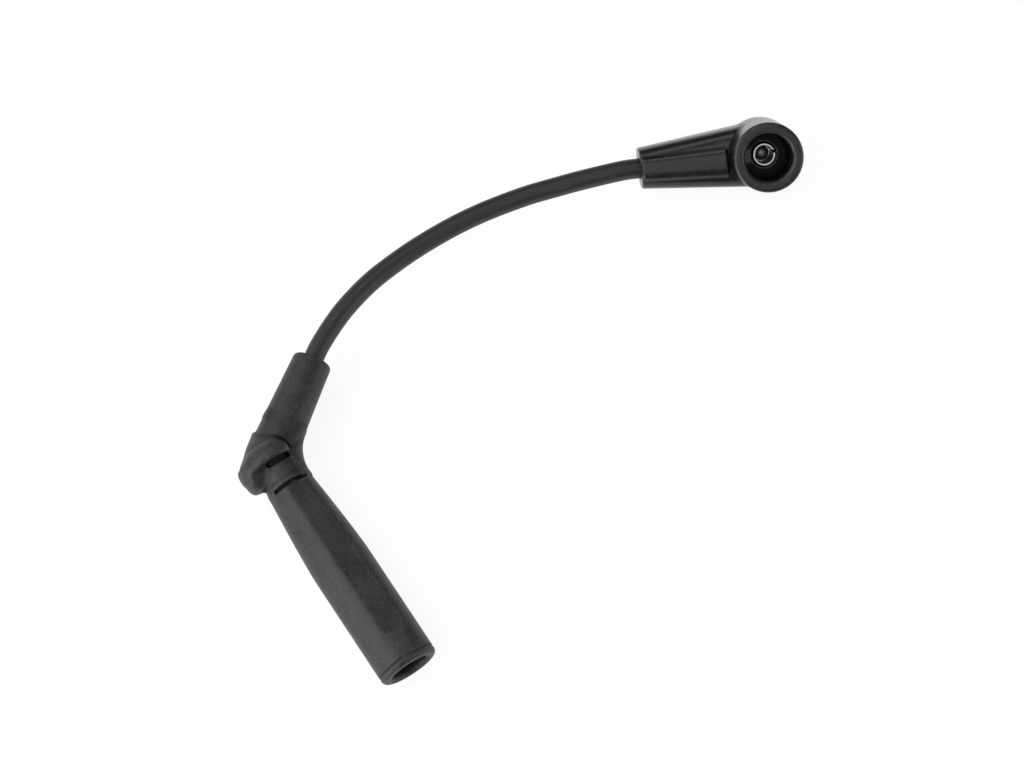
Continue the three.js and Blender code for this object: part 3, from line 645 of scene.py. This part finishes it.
def contoured(name, distance, low, high, voxel, place, material, slot, *nodes, bore_shade=None):
    """A piece meshed from a distance function in millimetres, moved to its place in the row frame.
    Its edges are stored for the shader, and painted shade for its hollows and wherever the last
    argument puts more."""
    points, quads = surface_of(distance, low, high, voxel)
    bulge = slope_of(distance, points, EDGE_REACH)[2]
    hollow = slope_of(distance, points, HOLLOW_REACH)[2]
    turned = points @ np.array(place.to_3x3()).T * MM + np.array(place.translation)
    mesh = quad_mesh(name, turned, quads)
    paint(mesh, "edge", bulge * EDGE_GAIN)
    # Painted shade: concave places and the walls of the bores are darkened.
    paint(mesh, "painted_shade", (bore_shade(*points.T) if bore_shade else 0.0) - hollow * HOLLOW_GAIN)
    mesh.materials.append(material)
    piece = bpy.data.objects.new(name, mesh)
    bpy.context.scene.collection.objects.link(piece)
    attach(piece, "root")
    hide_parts(*nodes)
    print(name, len(mesh.polygons) * 2, "triangles, off the surface by at most",
          round(float(np.abs(distance(*points.T)).max()), 4), "mm")
    return piece


# %% [markdown]
# ## The plug boot
# The barrel slides over the plug's insulator. It tapers towards the bend and has a long flat
# moulded along its top and bottom, a fine groove behind its rim and a thick rounded lip. A collar
# stands on the outside of the bend, for fingers to pull on, and carries a rounded thumb tab. On
# the inside of the bend it dies away, and a smooth web leads from the barrel to the arm that holds
# the cable. Here x runs along the barrel, y is on the side of the arm, and sizes are in millimetres.

# %% Barrel
MOUTH = 88.5
MOUTH_ROUNDING = 1.8
SHOULDER_X = 14.0
SHOULDER_RADIUS = 8.4
BARREL_RADIUS = 10.6
FULL_FROM = 45
SWELL_POWER = 1.28
RIM_GROOVE_X, RIM_GROOVE_DEPTH, RIM_GROOVE_WIDTH = MOUTH - 2.45, 0.35, 0.32
FLAT_FROM, FLAT_TO = 57, 105  # degrees round the barrel, from the inside of the bend
FLAT_FADES = (74.3, 78.3)


def barrel(x, y, z, r):
    t = np.clip((x - SHOULDER_X) / (FULL_FROM - SHOULDER_X), 0, 1)
    swell = 1 - (1 - t) ** SWELL_POWER
    radius = SHOULDER_RADIUS + (BARREL_RADIUS - SHOULDER_RADIUS) * swell
    radius = radius - RIM_GROOVE_DEPTH * bead(x, RIM_GROOVE_X, RIM_GROOVE_WIDTH)
    half = np.radians((FLAT_TO - FLAT_FROM) / 2)
    middle = np.radians((FLAT_TO + FLAT_FROM) / 2)
    apothem = radius * np.cos(half) + radius * (1 - np.cos(half)) * step(x, *FLAT_FADES)
    facet = y * np.cos(middle) + np.abs(z) * np.sin(middle) - apothem
    body = both(r - radius, facet, 0.12)
    return both(both(body, x - MOUTH, MOUTH_ROUNDING), SHOULDER_X - x, 0.5)


# %% Neck and arm
NECK_RADIUS = 7.95
NECK_OVERLAP = 0.4
LIP_HEIGHT, LIP_RISE = 0.4, (10.5, 11.8)
PLAIN_SIDES, PLAIN_RISE = (5.6, 6.8), (9.8, 12.9)
GROOVE_X, GROOVE_HALF_WIDTH, GROOVE_REACH = 13.4, 0.75, 6.3
GROOVE_RADIUS, GROOVE_HALF_DEPTH = 8.9, 1.4
ARM_RADIUS, ARM_TAPER, ARM_ROUNDING = 8.2, 1.4, 1.3


def along_arm(x, y, z):
    """How far a point is along the arm, and how far from its axis."""
    far = x * ARM[0] + y * ARM[1]
    return far, np.hypot(x * ARM[1] - y * ARM[0], z)


def neck(x, y, r):
    """The neck, with a lip and a groove above and below, and plain sides."""
    side = step(np.abs(y), *PLAIN_SIDES)
    lip = LIP_HEIGHT * step(x, *LIP_RISE)
    filled = (SHOULDER_RADIUS - NECK_RADIUS) * step(x, *PLAIN_RISE)
    body = both(r - NECK_RADIUS - lip * (1 - side) - filled * side, x - SHOULDER_X - NECK_OVERLAP)
    body = both(body, -x)
    ring = np.abs(r - GROOVE_RADIUS) - GROOVE_HALF_DEPTH
    groove = both(ring, np.abs(x - GROOVE_X) - GROOVE_HALF_WIDTH, 0.25)
    return without(body, both(groove, np.abs(y) - GROOVE_REACH, 0.6), 0.2)


def arm(x, y, z):
    far, off = along_arm(x, y, z)
    off = np.where(far < 0, np.sqrt(x * x + y * y + z * z), off)
    radius = ARM_RADIUS - ARM_TAPER * np.clip(far, 0, None) / PLUG_ARM
    return both(off - radius, far - PLUG_ARM, ARM_ROUNDING)


# %% Collar and thumb tab
COLLAR_X = 4.0
COLLAR_RADIUS = 12.3
COLLAR_OFFSET = -0.4
COLLAR_DROP, COLLAR_FADES = 5.1, (24, 72)  # degrees from the inside of the bend
CONE_X, CONE_RADIUS, CONE_NORMAL = -4.6, 7.2, (-0.7685, 0.64)
RECESS_RADIUS, RECESS_HALF_DEPTH, RECESS_HALF_WIDTH = 8.2, 1.4, 1.1
TAB_END, TAB_ROUNDING, TAB_START_Y = 9.4, 4.0, -4
TAB_X, TAB_HALF_WIDTH = 1.45, 7.95


def collar(x, y, z):
    """A disc that dies away on the inside of the bend, with a cone behind it."""
    r = np.hypot(y - COLLAR_OFFSET, z)
    from_inside = np.degrees(np.arctan2(np.abs(z), y - COLLAR_OFFSET))
    low = r + COLLAR_DROP * (1 - step(from_inside, *COLLAR_FADES))
    disc = both(low - COLLAR_RADIUS, x - COLLAR_X, 1.2)
    cone = (x - CONE_X) * CONE_NORMAL[0] + (low - CONE_RADIUS) * CONE_NORMAL[1]
    return both(disc, cone, 1.9)


def collar_recess(x, r):
    ring = np.abs(r - RECESS_RADIUS) - RECESS_HALF_DEPTH
    return both(ring, np.abs(x - COLLAR_X - 0.1) - RECESS_HALF_WIDTH, 0.3)


def thumb_tab(x, y, z):
    rim = both(np.hypot(y - COLLAR_OFFSET, z) - COLLAR_RADIUS, x - TAB_END, TAB_ROUNDING)
    pillar = np.hypot(x - TAB_X, z) - TAB_HALF_WIDTH
    return both(both(rim, pillar, 0.9), np.maximum(-x, y - TAB_START_Y))


# %% Web and outside of the plug boot
WEB_TANGENT = 12.5
WEB_PATH = WEB_TANGENT * math.tan(BEND / 2)
WEB_THICKNESS, WEB_THINNING, WEB_OVAL = 8.65, 0.8, 0.86
WEB_END, WEB_START_Y = 2.4, 5.2


def web(x, y, z):
    """A bent oval bar, tangent to the barrel and the arm, on the inside of the bend."""
    turn = np.arctan2(WEB_TANGENT - x, WEB_PATH - y)
    sweep = math.pi - BEND
    past = np.maximum(-turn, turn - sweep) * WEB_PATH / WEB_END
    thick = WEB_THICKNESS - WEB_THINNING * np.clip(turn / sweep, 0, 1)
    thick = thick - 0.8 * np.clip(past, 0, 2) ** 2
    inward = WEB_PATH - np.hypot(x - WEB_TANGENT, y - WEB_PATH)
    bar = np.hypot(inward, z / WEB_OVAL) - thick
    return both(both(bar, WEB_START_Y - y), (past - 1.6) * WEB_END)


def plug_outside(x, y, z):
    r = np.hypot(y, z)
    root = either(arm(x, y, z), collar(x, y, z), 1.1)
    stem = either(root, neck(x, y, r), 0.8)
    stem = without(stem, collar_recess(x, r), 0.15)
    stem = either(stem, thumb_tab(x, y, z), 1.6)
    stem = either(stem, web(x, y, z), 0.8)
    return either(stem, barrel(x, y, z, r), 0.12)


# %% Hollow of the plug boot
PLUG_BORE = [  # (x, radius)
    (-1.0, 5.2), (35.5, 5.2), (39.5, 7.3), (77.9, 7.3), (78.54, 6.6), (79.02, 6.6),
    (79.5, 6.95), (MOUTH - 0.9, 6.95), (MOUTH, 7.85), (MOUTH + 5, 12.85),
]
CRIMP_ROOM, CABLE_ROOM = 4.6, 3.8
# How strongly the inside of each bore is darkened as painted shade.
BORE_SHADE_LEVEL = 0.8


def cable_room(far, off, narrows):
    """The hollow for the crimp and, past where it narrows, for the cable alone."""
    stations, radii = (0, *narrows, 60), (CRIMP_ROOM, CRIMP_ROOM, CABLE_ROOM, CABLE_ROOM)
    return np.maximum(off - np.interp(far, stations, radii), -far)


def plug_hollow(x, y, z):
    r = np.hypot(y, z)
    bore = np.maximum(r - np.interp(x, *zip(*PLUG_BORE)), -x)
    knee = np.sqrt(x * x + y * y + z * z) - PLUG_BORE[0][1]
    room = cable_room(*along_arm(x, y, z), (19.7, 20.0))
    return np.minimum(np.minimum(bore, knee), room)


def plug_bore_shade(x, y, z):
    """Painted shade on the bore's wall, and none on the outside."""
    within = step(-np.hypot(y, z), -7.5, -7.1)
    return BORE_SHADE_LEVEL * step(MOUTH - x, 0.8, 5.0) * step(x, 18, 22) * within


plug_boot = contoured(
    "plug_boot_rubber",
    lambda x, y, z: without(plug_outside(x, y, z), plug_hollow(x, y, z), 0.3),
    (-28, -13, -12.6), (MOUTH, 36, 12.6), 0.43,
    TO_PLUG, PLUG_RUBBER, "plug_rubber", "plug_boot", bore_shade=plug_bore_shade,
)

# %% [markdown]
# ## The coil boot
# This boot turns the cable through a right angle into a round cup, which slides over the coil's
# tower. Its arm is a rounded square that shrinks to a circle at the cable, with a low ridge along
# the mouth's side. A power curve gives the rounded square: a power of 2 is an ellipse, and larger
# powers are squarer. Here x runs along the arm and z out of the cup.

# %% Outside of the coil boot
CUP_TOP, CUP_FLOOR, CUP_BACK = 20.0, 5.5, -9.4
CUP_RADIUS = 12.15
ARM_DEPTH, ARM_END_DEPTH = 8.9, 7.0
ARM_WIDTH, ARM_END_WIDTH = 11.5, 7.1
ARM_POWER, POWER_DROP = 4.2, 1.3
RIDGE_FROM, RIDGE_TO = 13.2, 42.7
RIDGE_HALF_WIDTH, RIDGE_TAPER, RIDGE_SHIFT = 5.8, 1.4, 1.0
RIDGE_HEIGHT, RIDGE_POWER = 1.1, 3.2


def arm_depth(x):
    return ARM_DEPTH + (ARM_END_DEPTH - ARM_DEPTH) * x / COIL_ARM


def coil_arm(x, y, z):
    share = np.clip(x / COIL_ARM, 0, 1)
    half_y = ARM_WIDTH + (ARM_END_WIDTH - ARM_WIDTH) * share
    half_z = arm_depth(np.clip(x, 0, COIL_ARM))
    power = ARM_POWER - POWER_DROP * share
    reach = ((np.abs(y) / half_y) ** power + (np.abs(z) / half_z) ** power) ** (1 / power)
    tube_wall = (reach - 1) * half_z
    return both(both(tube_wall, x - COIL_ARM, 0.6), -x)


def coil_ridge(x, y, z):
    share = np.clip((x - RIDGE_FROM) / (COIL_ARM - RIDGE_FROM), 0, 1)
    half_y = RIDGE_HALF_WIDTH - RIDGE_TAPER * share
    half_z = (arm_depth(x) + RIDGE_HEIGHT) / 2
    across = np.abs(y - RIDGE_SHIFT * (1 - share)) / half_y
    up = np.abs(z - half_z) / half_z
    crown = ((across**RIDGE_POWER + up**RIDGE_POWER) ** (1 / RIDGE_POWER) - 1) * half_z
    ends = np.abs(x - (RIDGE_FROM + RIDGE_TO) / 2) - (RIDGE_TO - RIDGE_FROM) / 2
    return both(crown, ends, 0.5)


def coil_outside(x, y, z):
    cup = both(both(np.hypot(x, y) - CUP_RADIUS, z - CUP_TOP, 1.1), CUP_BACK - z, 2.6)
    body = either(cup, coil_arm(x, y, z), 0.8)
    return either(body, coil_ridge(x, y, z), 0.3)


# %% Hollow of the coil boot
CUP_BORE, RIM_CHAMFER = 8.35, 0.8
SEAL_Z, SEAL_HEIGHT, SEAL_WIDTH = 15.0, 0.3, 0.5
WELL_RADIUS, WELL_Z, WELL_HALF_DEPTH = 4.25, 1.0, 5.1


def coil_hollow(x, y, z):
    r = np.hypot(x, y)
    chamfer = np.clip(z - (CUP_TOP - RIM_CHAMFER), 0, None)
    radius = CUP_BORE + chamfer - SEAL_HEIGHT * bead(z, SEAL_Z, SEAL_WIDTH)
    bore = np.maximum(r - radius, CUP_FLOOR - z)
    well = np.maximum(r - WELL_RADIUS, np.abs(z - WELL_Z) - WELL_HALF_DEPTH)
    room = cable_room(x, np.hypot(y, z), (20.7, 21.0))
    return np.minimum(np.minimum(bore, well), room)


def coil_bore_shade(x, y, z):
    """Painted shade on the cup's wall, and none on the outside."""
    within = step(-np.hypot(x, y), -8.9, -8.6)
    return BORE_SHADE_LEVEL * step(CUP_TOP - z, 0.8, 2.5) * step(z, 3, 5) * within


coil_boot = contoured(
    "coil_boot_rubber",
    lambda x, y, z: without(coil_outside(x, y, z), coil_hollow(x, y, z), 0.25),
    (-12.6, -12.6, -10), (COIL_ARM, 12.6, CUP_TOP), 0.3,
    TO_COIL, COIL_RUBBER, "coil_rubber", "coil_boot", bore_shade=coil_bore_shade,
)

# %% [markdown]
# ## The coil terminal and its contact
# The terminal is stamped from plated sheet: an upright sleeve with one slit, a floor, a strap and
# a crimp round the cable. A domed rivet is the contact. The sheet's wall is a distance too: how
# far a point is from the sheet's middle, less half its thickness.

# %% Sheet metal tools
SHEET = 0.5
SHEET_ROUNDING = 0.12
STRAP_WIDTH = 4.2
NO_SLIT = 9.0


def rolled(off, far, side, radius, start, end, slit, flare=0.0, sheet=SHEET):
    """A rolled sheet tube with a slit. off and far are the distances from its axis and along it.
    side is the distance from the slit's middle plane, and NO_SLIT on the far half."""
    middle = radius + flare * step(far, end - 2 * flare - 0.01, end)
    length = np.abs(far - (start + end) / 2) - (end - start) / 2
    wall = both(np.abs(off - middle) - sheet / 2, length, SHEET_ROUNDING)
    return without(wall, np.abs(side) - slit / 2, 0.1)


def ribbon(u, v, wide, line):
    """A strap that follows a line in the plane of u and v, and lies flat across it."""
    nearest = np.full(np.shape(u), 1e9)
    for (ax, ay), (bx, by) in zip(line, line[1:]):
        dx, dy = bx - ax, by - ay
        t = np.clip(((u - ax) * dx + (v - ay) * dy) / (dx * dx + dy * dy), 0, 1)
        nearest = np.minimum(nearest, np.hypot(u - ax - t * dx, v - ay - t * dy))
    return both(nearest - SHEET / 2, np.abs(wide) - STRAP_WIDTH / 2, SHEET_ROUNDING)


def flat_line(points, steps):
    """A smooth line through points of a plane."""
    return catmull_rom([(*p, 0.0) for p in points], steps)[:, :2]


def strap_seat(outer):
    """How far from a tube's axis a strap lies with its edges flush with the tube's outside."""
    return math.sqrt(outer**2 - (STRAP_WIDTH / 2) ** 2) - SHEET / 2


# %% Coil terminal
CRIMP_RADIUS, CRIMP_OUTSIDE, CRIMP_SLIT = 4.05, 4.3, 1.0
CRIMP_FROM, CRIMP_TO = 9.5, 19.5
SLEEVE_RADIUS, SLEEVE_SHEET = 3.55, 0.8
SLEEVE_FLOOR, SLEEVE_TOP = -3.8, 7.0
SLEEVE_SLIT, SLIT_TURN = 0.9, math.radians(193)
RIVET_HOLE = 1.1
FLOOR_MIDDLE = SLEEVE_FLOOR + SHEET / 2
crimp_seat = strap_seat(CRIMP_OUTSIDE)
coil_strap = flat_line(
    [(2.45, FLOOR_MIDDLE), (4.45, FLOOR_MIDDLE), (7.5, -crimp_seat), (10.4, -crimp_seat)], 4
)


def coil_terminal_shape(x, y, z):
    r = np.hypot(x, y)
    forward = x * math.cos(SLIT_TURN) + y * math.sin(SLIT_TURN)
    side = np.where(forward > 0, y * math.cos(SLIT_TURN) - x * math.sin(SLIT_TURN), NO_SLIT)
    sleeve = rolled(
        r, z, side, SLEEVE_RADIUS, SLEEVE_FLOOR, SLEEVE_TOP, SLEEVE_SLIT, sheet=SLEEVE_SHEET
    )
    floor_disc = both(r - SLEEVE_RADIUS, np.abs(z - SLEEVE_FLOOR - SHEET / 2) - SHEET / 2, 0.1)
    floor_disc = without(floor_disc, r - RIVET_HOLE, 0.05)
    slit = np.where(z > 0, y, NO_SLIT)
    crimp = rolled(np.hypot(y, z), x, slit, CRIMP_RADIUS, CRIMP_FROM, CRIMP_TO, CRIMP_SLIT)
    body = np.minimum(either(sleeve, floor_disc, 0.15), ribbon(x, z, y, coil_strap))
    return np.minimum(body, crimp)


coil_terminal = contoured(
    "coil_terminal_sheet", coil_terminal_shape, (-4.2, -4.6, -4.6), (19.6, 4.6, 7.1), 0.15,
    TO_COIL, PLATED_STEEL, "plated_steel", "coil_terminal",
)

# %% Contact rivet
HEAD_RADIUS, DOME_HEIGHT, HEAD_EDGE = 2.75, 1.9, 0.4
SHANK_RADIUS = 0.8
SEAT = SLEEVE_FLOOR + SHEET + 0.3


def contact_shape(x, y, z):
    r = np.hypot(x, y)
    over = (z - SEAT - HEAD_EDGE) / DOME_HEIGHT
    dome = (np.sqrt((r / HEAD_RADIUS) ** 2 + over**2) - 1) * DOME_HEIGHT
    head = both(np.where(z > SEAT + HEAD_EDGE, dome, r - HEAD_RADIUS), SEAT - z, 0.1)
    shank = np.maximum(r - SHANK_RADIUS, np.maximum(SLEEVE_FLOOR - z, z - SEAT - 0.5))
    return np.minimum(head, shank)


coil_contact = contoured(
    "coil_contact_rivet", contact_shape, (-2.8, -2.8, -3.9), (2.8, 2.8, -0.6), 0.1,
    TO_COIL, DULL_CONTACT, "dull_contact", "coil_contact",
)

# %% [markdown]
# ## The plug terminal and its clip
# Deep in the barrel a snap socket waits for the plug's stud. It is rolled from the same sheet,
# with two slots, and a round wire clip springs through the slots to grip the stud. A bent strap
# leads round the bend to the crimp on the cable.

# %% Plug terminal
SOCKET_RADIUS, SOCKET_OUTSIDE, SOCKET_SLIT, SOCKET_FLARE = 3.55, 3.8, 1.2, 0.45
SOCKET_FROM, SOCKET_TO = 17.5, 34.5
PLUG_CRIMP_FROM, PLUG_CRIMP_TO = 8.5, 18.5
CLIP_X = 29.5
SLOT_HALF_LENGTH, SLOT_HALF_WIDTH, SLOT_BOTTOM = 0.8, 1.33, 1.9
OUT_OF_BEND = np.array((-ARM[1], ARM[0]))
socket_seat = strap_seat(SOCKET_OUTSIDE)


def on_crimp(far):
    """A point of the strap where it lies along the crimp."""
    return tuple(ARM[:2] * far + OUT_OF_BEND * crimp_seat)


plug_strap = flat_line([
    (18.7, -socket_seat), (13.5, -socket_seat), (6.0, -socket_seat),
    on_crimp(2.5), on_crimp(6.5), on_crimp(9.4),
], 4)


def plug_terminal_shape(x, y, z):
    slit = np.where(y > 0, z, NO_SLIT)
    socket = rolled(
        np.hypot(y, z), x, slit, SOCKET_RADIUS, SOCKET_FROM, SOCKET_TO, SOCKET_SLIT, SOCKET_FLARE
    )
    slots = np.maximum(np.abs(y) - SLOT_HALF_WIDTH, SLOT_BOTTOM - np.abs(z))
    slots = np.maximum(np.abs(x - CLIP_X) - SLOT_HALF_LENGTH, slots)
    socket = without(socket, slots, 0.1)
    far, off = along_arm(x, y, z)
    slit = np.where(x * ARM[1] - y * ARM[0] > 0, z, NO_SLIT)
    crimp = rolled(off, far, slit, CRIMP_RADIUS, PLUG_CRIMP_FROM, PLUG_CRIMP_TO, CRIMP_SLIT)
    return np.minimum(np.minimum(socket, ribbon(x, y, z, plug_strap)), crimp)


plug_terminal = contoured(
    "plug_terminal_sheet", plug_terminal_shape, (-14.5, -4.4, -4.5), (34.6, 18, 4.5), 0.17,
    TO_PLUG, PLATED_STEEL, "plated_steel", "plug_terminal",
)

# %% Wire clip
CLIP_WIRE = 0.4
CLIP_CLEARANCE = 0.3
CLIP_RING = SOCKET_OUTSIDE + CLIP_CLEARANCE + CLIP_WIRE
CLIP_GAP = math.radians(70)
clip_angles = np.linspace(math.pi / 2 + CLIP_GAP / 2, 2.5 * math.pi - CLIP_GAP / 2, 60)
clip_line = [
    placed(TO_PLUG, CLIP_X, CLIP_RING * math.cos(a), CLIP_RING * math.sin(a)) for a in clip_angles
]
clip = swept("plug_terminal_wire_clip", clip_line, CLIP_WIRE * MM, 16, SPRING_STEEL)
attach(clip, "root")
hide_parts("plug_terminal_clip")

# %% [markdown]
# ## What stays from the CAD model
# The cable's cut ends and its bare core are hidden in the boots, and their CAD shapes are right.
# They only take the finishes of the jacket and the core.

# %% Finishes on the CAD nodes
KEPT = {
    "plug_cable_end": JACKET,
    "coil_cable_end": JACKET,
    "plug_core_end": CARBON_CORE,
    "coil_core_end": CARBON_CORE,
}
for name, material in KEPT.items():
    node_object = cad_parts[name]
    if not node_object.material_slots:
        node_object.data.materials.append(None)
    for material_slot in node_object.material_slots:
        material_slot.link = "OBJECT"
        material_slot.material = material
print("Kept from the CAD model:", sorted(KEPT))

# %% [markdown]
# ## Floor and light
# The lead lies on a plain white table under soft studio light. For the camera, most of the floor's
# white is its own, so that the picture stays white and the soft shadow stays faint. The lamps are
# large and plain: the strongest is a box low on the left, which gives the rubber its long
# highlights, and the others are weaker.

# %% Floor
FLOOR_REACH = 4.0
FLOOR_GREY = 0.8
FLOOR_GLOW = 1.16
SHADOW_KEPT = 0.25
floor_mesh = bpy.data.meshes.new("floor")
signs = ((-1, -1), (1, -1), (1, 1), (-1, 1))
floor_corners = [(FLOOR_REACH * i, FLOOR_REACH * j, 0) for i, j in signs]
floor_mesh.from_pydata(floor_corners, [], [(0, 1, 2, 3)])
floor = bpy.data.objects.new("floor", floor_mesh)
bpy.context.scene.collection.objects.link(floor)


def seen_directly(tree):
    """1 for rays from the camera, from glossy surfaces and through clear ones."""
    path = tree.nodes.new("ShaderNodeLightPath")
    total = maths(tree, "ADD", path.outputs["Is Camera Ray"], path.outputs["Is Glossy Ray"])
    return maths(tree, "ADD", total, path.outputs["Is Transmission Ray"], clamp=True)


table_top = bpy.data.materials.new("table_top")
table_top.use_nodes = True
tree = table_top.node_tree
base = tree.nodes["Principled BSDF"]
feed_all(tree, base, {
    "Base Color": grey(FLOOR_GREY), "Roughness": 0.9, "Specular IOR Level": 0.0,
})
glow = tree.nodes.new("ShaderNodeEmission")
feed(tree, glow.inputs["Strength"], FLOOR_GLOW)
blend = tree.nodes.new("ShaderNodeMixShader")
share = maths(tree, "MULTIPLY", seen_directly(tree), 1 - SHADOW_KEPT)
for socket, value in zip(blend.inputs, (share, base.outputs[0], glow.outputs[0])):
    feed(tree, socket, value)
feed(tree, tree.nodes["Material Output"].inputs["Surface"], blend.outputs[0])
floor_mesh.materials.append(table_top)
print("Floor:", 2 * FLOOR_REACH, "m wide")

# %% World
ROOM_LIGHT = 0.1
world = bpy.data.worlds.new("studio")
bpy.context.scene.world = world
world.use_nodes = True
tree = world.node_tree
path = tree.nodes.new("ShaderNodeLightPath")
level = remap(tree, path.outputs["Is Camera Ray"], 0.0, 1.0, ROOM_LIGHT, 1.0, "LINEAR")
feed_all(tree, tree.nodes["Background"], {"Color": grey(1.0), "Strength": level})
print("World: light", ROOM_LIGHT)

# %% Lamps
LAMP_DISTANCE = 1.3
LAMP_WIDTH = 0.9
LAMPS = {
    # name: (direction in the picture: right, up, towards the camera), height, radiance
    "left_low_box": ((-0.75, -0.7, 0.4), 0.9, 4.5),
    "left_high_box": ((-1.0, 0.0, 1.0), 0.9, 2.9),
    "left_up_box": ((-0.8, 0.7, 0.5), 0.9, 1.6),
    "top_box": ((0.0, 0.8, 0.8), 0.6, 1.3),
    "front_box": ((0.0, 0.0, 1.0), 0.9, 1.0),
    "right_box": ((1.0, -0.1, 0.5), 0.9, 1.9),
}
for name, (direction, height, radiance) in LAMPS.items():
    away = (RIGHT * direction[0] + UP * direction[1] + BACK * direction[2]).normalized()
    data = bpy.data.lights.new(name, "AREA")
    data.shape, data.size, data.size_y = "RECTANGLE", LAMP_WIDTH, height
    data.energy = radiance * math.pi * LAMP_WIDTH * height
    lamp = bpy.data.objects.new(name, data)
    aim = away.to_track_quat("Z", "Y").to_matrix().to_4x4()
    lamp.matrix_world = Matrix.Translation(LOOK_AT + away * LAMP_DISTANCE) @ aim
    bpy.context.scene.collection.objects.link(lamp)
bpy.context.scene.view_settings.view_transform = "Standard"
print("Lamps:", len(LAMPS))
